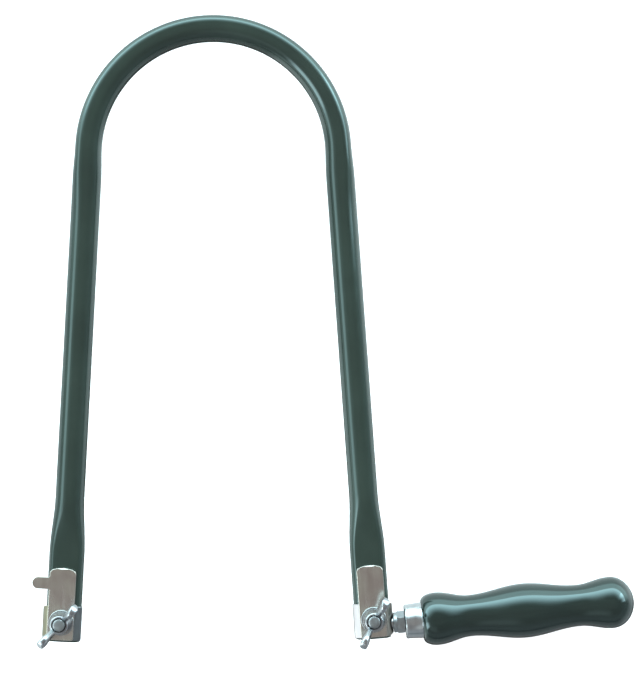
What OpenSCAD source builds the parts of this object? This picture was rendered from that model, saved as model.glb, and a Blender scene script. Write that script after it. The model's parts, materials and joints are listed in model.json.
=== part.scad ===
// Fret saw with a deep bow bent from one steel tube, two clamps that grip the
// ends of a thin blade, and a turned wooden handle at the side of one leg.
// The saw lies flat: X runs towards the handle, Y towards the arch, Z up.

/* [Bow tube] */
// Outer diameter of the tube along the straight legs
tube_d = 12; // [9:0.1:14]
// Wall thickness of the tube
tube_wall = 1.25; // [0.8:0.05:1.8]
// Radius of the tube's centre line round the arch
arch_r = 52.2; // [40:0.2:70]
// Depth from the inside of the arch to the open tube ends
throat_depth = 249.6; // [160:1:320]
// Angle by which each leg spreads away from the middle
leg_splay = 3.6; // [0:0.1:6]
// Width across the arch, where bending has drawn the tube narrower
bend_w = 11.1; // [9:0.1:12]
// Thickness of the arch through its flat side
bend_t = 12.5; // [11:0.1:13.5]
// Length below the arch over which the tube returns to round
bend_blend = 14; // [6:0.5:30]

/* [Flattened ends] */
// Thickness of the flattened tube end
flat_t = 7.4; // [6.6:0.1:9]
// Length of the flattened part
flat_len = 36.5; // [34:0.5:50]
// Length over which the round tube becomes flat
flat_blend = 24; // [10:0.5:40]
// Height of the clamp bolt above the open tube end
bolt_rise = 8.5; // [7:0.1:11]
// Sideways place of the rear clamp bolt, outwards from the middle of the leg
rear_bolt_shift = 0.5; // [0:0.1:1]
// Height of the handle stud above the open tube end
stud_rise = 5.5; // [5:0.1:9]

/* [Saddles] */
// Thickness of the saddle's sheet steel
saddle_t = 1.2; // [0.8:0.1:1.6]
// Height of the saddle's lower edge above the open tube end
saddle_rise = 0.8; // [0:0.1:1.2]
// Length of the saddle along the leg
saddle_len = 14.2; // [13.5:0.1:20]
// Reach of the saddle past the inner edge of the tube
saddle_overhang = 0.6; // [0:0.1:1.2]
// Depth of the saddle's flank below the middle of the tube
saddle_drop = 4; // [3.6:0.1:5]
// Narrowing of the flank at each side, from the web to its free end
saddle_taper = 1.5; // [0.5:0.1:1.6]
// Radius of the flank's two free corners
saddle_corner_r = 2.4; // [1:0.1:2.6]

/* [Jaw plates] */
// Thickness of the jaw plate
plate_t = 1.4; // [1:0.1:2]
// Width of the jaw plate
plate_w = 11; // [9:0.1:13]
// Height of the plate's lower edge above the open tube end
plate_rise = 1.1; // [0.5:0.1:2]
// Distance from the open tube end to the heel of the jaw plate
plate_reach = 31.1; // [28:0.1:33]
// Radius of the heel's arched outline
heel_r = 11.5; // [8:0.1:16]
// Radius of the two shoulders beside the heel
shoulder_r = 2; // [1.6:0.1:3]
// Radius of the two corners beside the bolt
plate_corner_r = 1; // [0.4:0.1:2]
// Diameter of the hole that lets the plate rock on the bolt
plate_hole_d = 6.3; // [6:0.1:7]
// Distance from the middle of the plate to the end of the thumb tab
tab_reach = 12.5; // [9:0.1:18]
// Width of the thumb tab
tab_w = 4.8; // [3:0.1:8]
// Height of the thumb tab's middle above the open tube end
tab_rise = 24.5; // [21:0.1:25.5]
// Sideways place of the front plate on its bolt, outwards
front_shift = 0.4; // [0:0.05:0.5]
// Sideways place of the rear plate on its bolt, outwards
rear_shift = -0.3; // [-0.5:0.05:0]

/* [Clamp bolts and wing nuts] */
// Diameter of the clamp bolts and of the handle stud over the thread
bolt_d = 4.9; // [4:0.1:5]
// Diameter of the bolt's domed head
head_d = 12; // [9:0.1:13]
// Height of the bolt's domed head
head_h = 2.8; // [2:0.1:4]
// Side of the square neck under the head
neck_w = 4.9; // [4.9:0.1:5.5]
// Length of bolt that stands out of the wing nut
bolt_proud = 1.1; // [0.4:0.1:3]
// Outer diameter of the washer
washer_d = 10.6; // [9:0.1:12]
// Thickness of the washer
washer_t = 1; // [0.6:0.1:1.6]
// Diameter of the wing nut's boss at the washer
boss_d = 9.4; // [8:0.1:11]
// Diameter of the wing nut's boss at the top
boss_top_d = 7.6; // [7:0.1:9]
// Height of the wing nut's boss
boss_h = 6.5; // [5:0.1:8]
// Distance between the tips of the two wings
wing_span = 23; // [20:0.2:30]
// Height from the washer to the top of the wings
wing_h = 12.6; // [10:0.2:16]
// Thickness of a wing
wing_t = 2.6; // [1.6:0.1:3]
// Radius of the rounded lobe at the end of a wing
wing_lobe_r = 3.4; // [2.4:0.1:4]
// Lean of each wing to the side
wing_lean = 9; // [0:1:15]
// Turn of the front wing nut, from straight outwards
front_wing_turn = -57; // [-90:1:90]
// Turn of the rear wing nut, from straight outwards
rear_wing_turn = 66; // [-90:1:90]

/* [Handle fixing] */
// Slant of the handle against the square of the leg
handle_slant = 1.2; // [0:0.1:2]
// Width across the flats of the lock nut
nut_flats = 8; // [7.4:0.1:10]
// Length of the lock nut's hexagon
nut_hex_len = 3.4; // [2.5:0.1:5]
// Length of the lock nut's round collar
nut_collar_len = 1.5; // [0.8:0.1:3]
// Outer diameter of the ferrule at its front
ferrule_d = 14.2; // [12:0.1:15]
// Outer diameter of the ferrule at the wood
ferrule_back_d = 15; // [12:0.1:15.4]
// Wall thickness of the ferrule
ferrule_wall = 0.8; // [0.5:0.1:1.2]
// Length of the ferrule from its front to the wood
ferrule_len = 7.2; // [6:0.1:12]
// Radius of the ferrule's front edge
ferrule_edge_r = 0.6; // [0.2:0.1:0.8]
// Length of stud held in the wood
stud_hold = 34; // [15:1:60]

/* [Handle] */
// Length of the wooden handle behind the ferrule
handle_len = 88.7; // [70:0.1:130]
// Diameter of the wood where it meets the ferrule
shoulder_d = 16; // [15.6:0.1:17]
// Diameter of the front swell
front_swell_d = 21.8; // [18:0.1:26]
// Diameter of the front waist
front_waist_d = 17.1; // [14:0.1:20]
// Diameter of the belly
belly_d = 22.5; // [20:0.1:30]
// Diameter of the rear waist
rear_waist_d = 17.2; // [14:0.1:20]
// Diameter of the end knob
end_knob_d = 21.4; // [18:0.1:26]

/* [Clearances] */
// Gap between the saddle and the tube
seat_gap = 0.05; // [0.02:0.01:0.2]
// Gap round a screw in the thread that it turns in
thread_gap = 0.05; // [0.02:0.01:0.1]
// Gap round a bolt or stud in a plain hole
hole_gap = 0.2; // [0.1:0.05:0.3]
// Gap between the handle's pieces along its axis
stack_gap = 0.06; // [0.02:0.01:0.2]

/* [Hidden] */
$fn = 64;

// Overrun of every cut past the surface that it opens
cut = 1;
// Facets round the tube's sections
blend_fn = 32;
// Sections along the stretch where the tube becomes flat
flat_steps = 8;
// Sections along the stretch where the tube becomes oval
bend_steps = 3;
// Sections round the arch
arch_steps = 30;
// Points along each swell of the handle
swell_steps = 10;

// Width of a flattened end, which keeps the length of the tube's wall
flat_w = (PI * tube_d - (PI - 2) * flat_t) / 2;
// Length of a leg from its open end to the start of the arch
leg_len = (throat_depth - arch_r + bend_w / 2 + arch_r * sin(leg_splay)) / cos(leg_splay);
// Place of a leg's open end, level with Y = 0
leg_end_x = arch_r * cos(leg_splay) + leg_len * sin(leg_splay);
// Height of the arch's centre above the open ends
arch_y = throat_depth - arch_r + bend_w / 2;

// Levels of the clamp stack above the middle of the tube
front_z = flat_t / 2;
web_z = front_z + seat_gap;
plate_z = web_z + saddle_t;
washer_z = plate_z + plate_t;
nut_z = washer_z + washer_t;
bolt_top_z = nut_z + boss_h + bolt_proud;
// Depth of the bolt's chamfered end
bolt_chamfer = bolt_d / 8;
// Depth of the square neck, through the rear wall of the tube
neck_h = tube_wall;

// Wing outline: place of the lobe's middle and of the root on the boss
lobe_x = wing_span / 2 - wing_lobe_r;
lobe_z = wing_h - wing_lobe_r;
root_x = boss_top_d / 2 - wing_t / 2;
root_low_share = 0.22;

// Middle of the tube's round outer edge, which the saddle's bend follows
saddle_edge_x = flat_w / 2 - flat_t / 2;
// Half of the saddle's outside height round that edge
saddle_out_r = flat_t / 2 + seat_gap + saddle_t;

// Places along the handle axis, from the middle of the leg
nut_x = flat_w / 2 + seat_gap + saddle_t + stack_gap;
ferrule_x = nut_x + nut_collar_len + nut_hex_len + stack_gap;
shoulder_x = ferrule_x + ferrule_len;
handle_end_x = shoulder_x + handle_len;
// Collar of the lock nut, as a share of its width across the flats
collar_share = 1.04;
// Hammer head of the stud, inside the flattened end beside the clamp bolt
stud_head_x = rear_bolt_shift + bolt_d / 2 + hole_gap;
stud_head_t = (flat_w / 2 - tube_wall - stud_head_x) / 2;
stud_head_w_share = 0.75;
stud_head_w = (flat_t - 2 * tube_wall) * stud_head_w_share;
stud_head_l_share = 1.6;
stud_head_l = bolt_d * stud_head_l_share;

// Swells of the handle: place along the wood and diameter, front to back
swell_place_shares = [0.068, 0.226, 0.483, 0.738, 0.893];
swell_ds = [front_swell_d, front_waist_d, belly_d, rear_waist_d, end_knob_d];

// Reach of the whole saw, used to set it down over the middle of its base
reach_right = leg_end_x + handle_end_x * cos(leg_splay + handle_slant) - bolt_rise * sin(leg_splay);
reach_left = leg_end_x + (tab_reach + front_shift) * cos(leg_splay) - tab_rise * sin(leg_splay);
reach_top = throat_depth + bend_w;
reach_low = wing_span / 2 * sin(rear_wing_turn + leg_splay) - bolt_rise;

tube_green = "#24483c";
wood_green = "#1f3f35";
nickel = "#a9a8a2";
zinc = "#c3c6bb";
bright_zinc = "#c9ccd0";

// The saw stands with its lowest point on Z = 0 and its middle over the origin
module set_down() {
    translate([
        (reach_left - reach_right) / 2,
        (reach_low - reach_top) / 2,
        belly_d / 2
    ])
        children();
}

// Local frame of a leg: origin in its open end, X outwards, Y up the leg.
// Side 1 is the rear leg with the handle, side -1 the front leg.
module at_leg(side) {
    mirror([side < 0 ? 1 : 0, 0, 0])
        translate([leg_end_x, 0, 0])
            rotate([0, 0, leg_splay])
                children();
}

// Sideways place of a clamp bolt, outwards from the middle of its leg
function bolt_shift(side) = side > 0 ? rear_bolt_shift : 0;

// Local frame of the clamp bolt, on the middle plane of the tube
module at_bolt(side) {
    at_leg(side)
        translate([bolt_shift(side), bolt_rise, 0])
            children();
}

// Local frame of the handle: origin in the middle of the leg, Z along the handle
module along_handle() {
    at_leg(1)
        translate([0, stud_rise, 0])
            rotate([0, 0, handle_slant])
                rotate([0, 90, 0])
                    children();
}

// Extrudes a section drawn in X and Z up the leg from one height to another
module up_leg(from_y, to_y) {
    translate([0, to_y, 0])
        rotate([90, 0, 0])
            linear_extrude(to_y - from_y)
                children();
}

// Share of a change, eased at both ends, after a share t of the way
function eased(t) = (1 - cos(180 * max(0, min(1, t)))) / 2;

// Share of the way from round to flat at height y of the leg
function flatness(y) = 1 - eased((y - flat_len) / flat_blend);

// Share of the way from round to the arch's oval at height y of the leg
function ovalness(y) = eased((y - leg_len + bend_blend) / bend_blend);

// Point of an oval section at an angle
function oval_point(w, t, a) = [w / 2 * cos(a), t / 2 * sin(a)];

// Point of a flat section with round edges at an angle
function flat_point(w, t, a) = [
    (w - t) / 2 * sign(round(cos(a) * blend_fn)) + t / 2 * cos(a),
    t / 2 * sin(a)
];

// Section of the leg at height y, smaller than the tube's outside by an inset
function leg_section(y, inset) =
    let (
        round_w = tube_d + (bend_w - tube_d) * ovalness(y) - 2 * inset,
        round_t = tube_d + (bend_t - tube_d) * ovalness(y) - 2 * inset,
        f = flatness(y)
    )
    [
        for (i = [0 : blend_fn - 1])
            let (a = 360 * i / blend_fn)
            (1 - f) * oval_point(round_w, round_t, a)
                + f * flat_point(flat_w - 2 * inset, flat_t - 2 * inset, a)
    ];

// Heights of a leg's sections: few on a plain stretch, more where the tube changes
function leg_heights(overrun) = concat(
    [-overrun],
    [for (k = [0 : flat_steps]) flat_len + flat_blend * k / flat_steps],
    [for (k = [0 : bend_steps]) leg_len - bend_blend * (1 - k / bend_steps)]
);

// Stations along the bow from one open end to the other. Each holds the middle of
// the tube, the direction that points out of the bow, and a height up the leg.
function bow_stations(overrun) =
    let (heights = leg_heights(overrun), top = len(heights) - 1, sweep = 180 - 2 * leg_splay)
    concat(
        [
            for (y = heights)
                [[leg_end_x - y * sin(leg_splay), y * cos(leg_splay)], leg_splay, y]
        ],
        [
            for (k = [1 : arch_steps - 1])
                let (a = leg_splay + sweep * k / arch_steps)
                [[arch_r * cos(a), arch_y + arch_r * sin(a)], a, leg_len]
        ],
        [
            for (j = [0 : top])
                let (y = heights[top - j])
                [[y * sin(leg_splay) - leg_end_x, y * cos(leg_splay)], 180 - leg_splay, y]
        ]
    );

// The whole bow as a solid bar that is smaller than the tube's outside by an inset,
// lofted through its stations
module bow_bar(inset, overrun) {
    stations = bow_stations(overrun);
    last = len(stations) - 1;
    n = blend_fn;
    polyhedron(
        points = [
            for (st = stations, p = leg_section(st[2], inset))
                [st[0][0] + p[0] * cos(st[1]), st[0][1] + p[0] * sin(st[1]), p[1]]
        ],
        faces = concat(
            [[for (i = [0 : n - 1]) n - 1 - i]],
            [[for (i = [0 : n - 1]) last * n + i]],
            [
                for (j = [0 : last - 1], i = [0 : n - 1], half = [0, 1])
                    let (here = j * n + i, beside = j * n + (i + 1) % n)
                    half == 0 ? [here, beside, here + n] : [beside, beside + n, here + n]
            ]
        )
    );
}

// Bow bent from one tube, with both ends pressed flat and drilled
module frame_tube() {
    color(tube_green)
        set_down()
            difference() {
                bow_bar(0, 0);
                bow_bar(tube_wall, cut);
                for (side = [-1, 1])
                    at_bolt(side)
                        bolt_hole();
                along_handle()
                    cylinder(d = bolt_d + 2 * hole_gap, h = flat_w / 2 + cut);
            }
}

// Round hole for the clamp bolt, square through the rear wall
module bolt_hole() {
    cylinder(d = bolt_d + 2 * hole_gap, h = front_z + cut);
    translate([0, 0, -front_z + neck_h / 2 - cut / 2])
        cube([neck_w + 2 * hole_gap, neck_w + 2 * hole_gap, neck_h + cut], center = true);
}

// Section of the saddle: flat web over the tube, bent round the tube's outer edge
module saddle_section() {
    inner_x = -flat_w / 2 - saddle_overhang;
    gap_r = saddle_out_r - saddle_t;
    difference() {
        union() {
            translate([saddle_edge_x, 0])
                circle(r = saddle_out_r);
            translate([inner_x, 0])
                square([saddle_edge_x - inner_x, saddle_out_r]);
            translate([saddle_edge_x, -2 * saddle_drop])
                square([saddle_out_r, 2 * saddle_drop]);
        }
        translate([saddle_edge_x, 0])
            circle(r = gap_r);
        translate([inner_x - cut, -2 * saddle_out_r])
            square([saddle_edge_x - inner_x + cut, 2 * saddle_out_r + gap_r]);
        translate([inner_x, -3 * saddle_drop])
            square([saddle_edge_x - inner_x + gap_r, 3 * saddle_drop]);
    }
}

// Outline of the saddle seen from the side of the leg: its flank is a tapered tongue
module saddle_side() {
    low = saddle_rise + saddle_taper + saddle_corner_r;
    high = saddle_rise + saddle_len - saddle_taper - saddle_corner_r;
    hull() {
        for (y = [low, high])
            translate([y, saddle_corner_r - saddle_drop])
                circle(r = saddle_corner_r);
        translate([saddle_rise, front_z])
            square([saddle_len, saddle_t + cut]);
    }
}

// Fixed jaw of a clamp, drilled for the bolt and, at the rear, for the stud
module saddle(side) {
    color(zinc)
        set_down()
            difference() {
                at_leg(side)
                    intersection() {
                        up_leg(saddle_rise - cut, saddle_rise + saddle_len + cut)
                            saddle_section();
                        translate([-flat_w, 0, 0])
                            rotate([90, 0, 90])
                                linear_extrude(2 * flat_w)
                                    saddle_side();
                    }
                at_bolt(side)
                    cylinder(d = bolt_d + 2 * hole_gap, h = plate_z + cut);
                if (side > 0)
                    along_handle()
                        cylinder(d = bolt_d + 2 * hole_gap, h = nut_x + cut);
            }
}

module front_saddle() {
    saddle(-1);
}

module rear_saddle() {
    saddle(1);
}

// Head of the jaw plate above a height, smaller than its outline by an inset: an arched
// heel between two round shoulders
module plate_head(from_y, inset) {
    half_w = plate_w / 2 - inset;
    round_r = shoulder_r - inset;
    arch = heel_r - inset;
    arch_mid_y = plate_reach - heel_r;
    shoulder_x = half_w - round_r;
    shoulder_y = arch_mid_y + sqrt((arch - round_r) * (arch - round_r) - shoulder_x * shoulder_x);
    reach_share = 2 * arch / (arch - round_r);
    for (s = [-1, 1])
        translate([s * shoulder_x, shoulder_y])
            circle(r = round_r);
    translate([-half_w, from_y])
        square([2 * half_w, shoulder_y - from_y]);
    intersection() {
        translate([0, arch_mid_y])
            circle(r = arch);
        translate([0, arch_mid_y])
            polygon([
                [0, 0],
                [shoulder_x * reach_share, (shoulder_y - arch_mid_y) * reach_share],
                [-shoulder_x * reach_share, (shoulder_y - arch_mid_y) * reach_share]
            ]);
    }
}

// Outline of the jaw plate, with rounded lower corners
module plate_outline() {
    corner_y = plate_rise + plate_corner_r;
    plate_head(corner_y, 0);
    translate([-plate_w / 2 + plate_corner_r, plate_rise])
        square([plate_w - 2 * plate_corner_r, 2 * plate_corner_r]);
    for (s = [-1, 1])
        translate([s * (plate_w / 2 - plate_corner_r), corner_y])
            circle(r = plate_corner_r);
}

// Section of the heel's turned-down lip, from shoulder to shoulder
module heel_lip() {
    lip_y = plate_reach - shoulder_r;
    difference() {
        plate_head(lip_y - 2 * plate_t, 0);
        plate_head(lip_y - 2 * plate_t - cut, plate_t);
        translate([-plate_w, 0])
            square([2 * plate_w, lip_y - plate_t]);
    }
}

// Jaw plate that rocks on its heel, which is turned down onto the tube
module jaw_plate(side, shift, with_tab) {
    plate_x = bolt_shift(side) + shift;
    color(nickel)
        set_down()
            difference() {
                at_leg(side)
                    translate([plate_x, 0, 0]) {
                        translate([0, 0, plate_z])
                            linear_extrude(plate_t) {
                                plate_outline();
                                if (with_tab)
                                    thumb_tab();
                            }
                        translate([0, 0, front_z])
                            linear_extrude(washer_z - front_z)
                                heel_lip();
                    }
                at_bolt(side)
                    translate([0, 0, plate_z - cut])
                        cylinder(d = plate_hole_d, h = plate_t + 2 * cut);
            }
}

// Round-ended tab for the thumb, on the outer edge of the front plate
module thumb_tab() {
    translate([0, tab_rise - tab_w / 2])
        square([tab_reach - tab_w / 2, tab_w]);
    translate([tab_reach - tab_w / 2, tab_rise])
        circle(d = tab_w);
}

module front_jaw_plate() {
    jaw_plate(-1, front_shift, true);
}

module rear_jaw_plate() {
    jaw_plate(1, rear_shift, false);
}

// Bolt with a domed head and a square neck, put in from the back of the tube
module clamp_bolt(side) {
    dome_r = (head_d * head_d / 4 + head_h * head_h) / (2 * head_h);
    root_z = -front_z - head_h / 2;
    color(bright_zinc)
        set_down()
            at_bolt(side) {
                translate([0, 0, -front_z])
                    intersection() {
                        translate([0, 0, dome_r - head_h])
                            sphere(r = dome_r);
                        translate([0, 0, -head_h])
                            cylinder(d = head_d, h = head_h);
                    }
                translate([0, 0, root_z + (neck_h - front_z - root_z) / 2])
                    cube([neck_w, neck_w, neck_h - front_z - root_z], center = true);
                rotate_extrude()
                    polygon([
                        [0, root_z],
                        [bolt_d / 2, root_z],
                        [bolt_d / 2, bolt_top_z - bolt_chamfer],
                        [bolt_d / 2 - bolt_chamfer, bolt_top_z],
                        [0, bolt_top_z]
                    ]);
            }
}

module front_clamp_bolt() {
    clamp_bolt(-1);
}

module rear_clamp_bolt() {
    clamp_bolt(1);
}

// Flat washer between the jaw plate and the wing nut
module clamp_washer(side) {
    color(bright_zinc)
        set_down()
            at_bolt(side)
                translate([0, 0, washer_z])
                    difference() {
                        cylinder(d = washer_d, h = washer_t);
                        translate([0, 0, -cut])
                            cylinder(d = bolt_d + 2 * hole_gap, h = washer_t + 2 * cut);
                    }
}

module front_washer() {
    clamp_washer(-1);
}

module rear_washer() {
    clamp_washer(1);
}

// Outline of one wing, from its root in the boss round the lobe at its end
module wing_outline() {
    polygon(concat(
        [[root_x, boss_h * root_low_share]],
        [
            for (a = [-62 : 9 : 145])
                [lobe_x + wing_lobe_r * cos(a), lobe_z + wing_lobe_r * sin(a)]
        ],
        [[root_x, boss_h]]
    ));
}

// Wing nut with a tapered boss and two wings that lean opposite ways
module wing_nut(side, turn) {
    color(bright_zinc)
        set_down()
            at_bolt(side)
                translate([0, 0, nut_z])
                    rotate([0, 0, turn])
                        difference() {
                            union() {
                                cylinder(d1 = boss_d, d2 = boss_top_d, h = boss_h);
                                for (half_turn = [0, 180])
                                    rotate([0, 0, half_turn])
                                        translate([0, 0, boss_h / 2])
                                            rotate([wing_lean, 0, 0])
                                                translate([0, wing_t / 2, -boss_h / 2])
                                                    rotate([90, 0, 0])
                                                        linear_extrude(wing_t)
                                                            wing_outline();
                            }
                            translate([0, 0, -cut])
                                cylinder(d = bolt_d + 2 * thread_gap, h = boss_h + 2 * cut);
                        }
}

module front_wing_nut() {
    wing_nut(-1, front_wing_turn);
}

module rear_wing_nut() {
    wing_nut(1, rear_wing_turn);
}

// Stud whose hammer head sits inside the flattened end and whose thread ends in the wood
module handle_stud() {
    color(bright_zinc)
        set_down()
            along_handle() {
                translate([0, 0, stud_head_x + stud_head_t / 2])
                    cube([stud_head_w, stud_head_l, stud_head_t], center = true);
                translate([0, 0, stud_head_x])
                    cylinder(d = bolt_d, h = shoulder_x + stud_hold - stud_head_x);
            }
}

// Lock nut that draws the stud tight, with a round collar towards the saddle
module lock_nut() {
    color(bright_zinc)
        set_down()
            along_handle()
                translate([0, 0, nut_x])
                    difference() {
                        union() {
                            cylinder(d = nut_flats * collar_share, h = nut_collar_len);
                            cylinder(d = (nut_flats + bolt_d) / 2, h = nut_collar_len + nut_hex_len);
                            translate([0, 0, nut_collar_len])
                                rotate([0, 0, 30])
                                    cylinder(d = nut_flats / cos(30), h = nut_hex_len, $fn = 6);
                        }
                        translate([0, 0, -cut])
                            cylinder(
                                d = bolt_d + 2 * thread_gap,
                                h = nut_collar_len + nut_hex_len + 2 * cut
                            );
                    }
}

// Diameter of the ferrule's cone at a distance from its front
function ferrule_d_at(z) = ferrule_d + (ferrule_back_d - ferrule_d) * z / ferrule_len;

// Drawn cup that closes the front of the handle and keeps the wood from splitting
module ferrule() {
    color(nickel)
        set_down()
            along_handle()
                translate([0, 0, ferrule_x])
                    difference() {
                        union() {
                            cylinder(d = ferrule_d - 2 * ferrule_edge_r, h = ferrule_len);
                            translate([0, 0, ferrule_edge_r])
                                cylinder(d1 = ferrule_d, d2 = ferrule_back_d, h = ferrule_len - ferrule_edge_r);
                            translate([0, 0, ferrule_edge_r])
                                rotate_extrude()
                                    translate([ferrule_d / 2 - ferrule_edge_r, 0])
                                        circle(r = ferrule_edge_r);
                        }
                        translate([0, 0, ferrule_wall])
                            cylinder(
                                d1 = ferrule_d_at(ferrule_wall) - 2 * ferrule_wall,
                                d2 = ferrule_d_at(ferrule_len + cut) - 2 * ferrule_wall,
                                h = ferrule_len + cut - ferrule_wall
                            );
                        translate([0, 0, -cut])
                            cylinder(d = bolt_d + 2 * hole_gap, h = ferrule_wall + 2 * cut);
                    }
}

// Points of the turned outline, from the shoulder to the tip on the axis
function swell_points() = [
    for (i = [0 : len(swell_ds) - 2], k = [1 : swell_steps])
        let (
            from_z = swell_place_shares[i] * handle_len,
            to_z = swell_place_shares[i + 1] * handle_len
        )
        [
            (swell_ds[i] + (swell_ds[i + 1] - swell_ds[i]) * eased(k / swell_steps)) / 2,
            from_z + (to_z - from_z) * k / swell_steps
        ]
];
function shoulder_points() = [
    for (k = [0 : swell_steps])
        let (a = 90 * k / swell_steps)
        [
            shoulder_d / 2 + (front_swell_d - shoulder_d) / 2 * sin(a),
            swell_place_shares[0] * handle_len * (1 - cos(a))
        ]
];
function tip_points() = [
    for (k = [1 : swell_steps])
        let (a = 90 * k / swell_steps)
        let (from_z = swell_place_shares[len(swell_ds) - 1] * handle_len)
        [end_knob_d / 2 * cos(a), from_z + (handle_len - from_z) * sin(a)]
];

// Turned wooden handle, with a spigot in the ferrule and a hole for the stud
module handle() {
    spigot_play = 2 * ferrule_wall + 2 * seat_gap;
    spigot_len = ferrule_len - ferrule_wall - stack_gap;
    color(wood_green)
        set_down()
            along_handle()
                translate([0, 0, shoulder_x + stack_gap])
                    difference() {
                        union() {
                            rotate_extrude()
                                polygon(concat(
                                    [[0, 0]], shoulder_points(), swell_points(), tip_points()
                                ));
                            translate([0, 0, -spigot_len])
                                cylinder(
                                    d1 = ferrule_d_at(ferrule_wall) - spigot_play,
                                    d2 = ferrule_back_d - spigot_play,
                                    h = spigot_len + stack_gap
                                );
                        }
                        translate([0, 0, -spigot_len - cut])
                            cylinder(
                                d = bolt_d + 2 * thread_gap,
                                h = spigot_len + stud_hold + 2 * cut
                            );
                    }
}

frame_tube();
front_saddle();
front_jaw_plate();
front_clamp_bolt();
front_washer();
front_wing_nut();
rear_saddle();
rear_jaw_plate();
rear_clamp_bolt();
rear_washer();
rear_wing_nut();
handle_stud();
lock_nut();
ferrule();
handle();
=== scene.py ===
import json
from math import asin, atan2, cos, degrees, pi, radians, sin

import bmesh
import bpy
from bpy.props import FloatProperty, FloatVectorProperty, PointerProperty
from mathutils import Matrix, Vector


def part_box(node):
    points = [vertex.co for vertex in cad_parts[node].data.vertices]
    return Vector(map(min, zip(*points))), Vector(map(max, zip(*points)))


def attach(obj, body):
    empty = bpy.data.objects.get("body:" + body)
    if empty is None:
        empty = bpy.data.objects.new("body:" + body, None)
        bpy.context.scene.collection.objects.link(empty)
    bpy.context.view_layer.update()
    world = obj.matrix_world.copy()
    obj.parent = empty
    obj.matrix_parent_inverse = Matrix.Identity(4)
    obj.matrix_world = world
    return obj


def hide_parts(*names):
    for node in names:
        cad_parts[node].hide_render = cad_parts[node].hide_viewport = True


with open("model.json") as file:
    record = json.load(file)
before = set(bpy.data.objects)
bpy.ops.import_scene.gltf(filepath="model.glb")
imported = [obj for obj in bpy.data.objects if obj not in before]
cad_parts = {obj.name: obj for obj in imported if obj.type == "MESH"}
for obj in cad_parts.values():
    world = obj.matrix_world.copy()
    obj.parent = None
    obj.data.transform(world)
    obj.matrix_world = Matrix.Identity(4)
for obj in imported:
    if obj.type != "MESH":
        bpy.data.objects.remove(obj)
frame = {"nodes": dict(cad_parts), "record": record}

bl_info = {
    "name": "Fret Saw",
    "version": (1, 0, 0),
    "blender": (4, 5, 0),
    "location": "3D View > Sidebar > Fret Saw",
    "description": "Builds the bow, the blade clamps and the handle of a fret saw",
    "category": "Add Mesh",
}

MM = 0.001
UP = Vector((0, 0, 1))
# Side of a leg, to the left with the far clamp or to the right with the handle
SIDES = {"front": -1, "rear": 1}
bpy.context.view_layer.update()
RECORD = frame["record"]
JOINTS = {joint["name"]: joint for joint in RECORD["behaviour"]["joints"]}
MOUNTS = {mount["name"]: mount for mount in RECORD["mounts"]}
GRIP, LEG = MOUNTS["hand_grip"], MOUNTS["leg_clip_place"]
# Height of the plane through the middle of the tube and of the handle
MIDDLE_Z = GRIP["pos_m"][2]
# Angle by which each leg spreads, and the handle's turn from X
SPLAY = asin(LEG["axis"][0])
HANDLE_TURN = atan2(GRIP["axis"][1], GRIP["axis"][0])


# Sizes and colours

def length(name, description, mm):
    """A size that a user may change, given in millimetres."""
    return FloatProperty(
        name=name, description=description, default=mm * MM, unit="LENGTH", precision=5
    )


def angle(name, description, turn):
    """An angle that a user may change, given in degrees."""
    return FloatProperty(name=name, description=description, default=radians(turn), unit="ROTATION")


def colour(name, description, default):
    """A colour that a user may change."""
    return FloatVectorProperty(
        name=name, description=description, default=default, subtype="COLOR", size=3, min=0, max=1
    )


class BowSizes(bpy.types.PropertyGroup):
    """Sizes of the bent tube"""

    tube_d: length("Tube", "Outer diameter of the straight legs", 2 * LEG["dims"]["r_mm"])
    wall: length("Wall", "Wall thickness of the tube", 1.25)
    bend_w: length("Arch Width", "Width of the tube across the arch", 11.1)
    bend_t: length("Arch Thickness", "Thickness of the arch through its flat side", 12.5)
    bend_blend: length("Arch Blend", "Length over which the tube returns to round", 14)
    press: FloatProperty(
        name="Pressed Wall", description="How far the arch's outer wall is pressed flat",
        default=0.3, min=0, max=1, subtype="FACTOR",
    )
    press_blend: length("Pressed Blend", "Length over which the pressed wall fades away", 30)
    flat_t: length("Flat Thickness", "Thickness of the flattened ends", 7.4)
    flat_len: length("Flat Length", "Length of the flattened ends", 36.5)
    flat_blend: length("Flat Blend", "Length over which the tube becomes flat", 24)
    rim: length("Rim", "Rounding of the open ends", 0.22)


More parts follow.
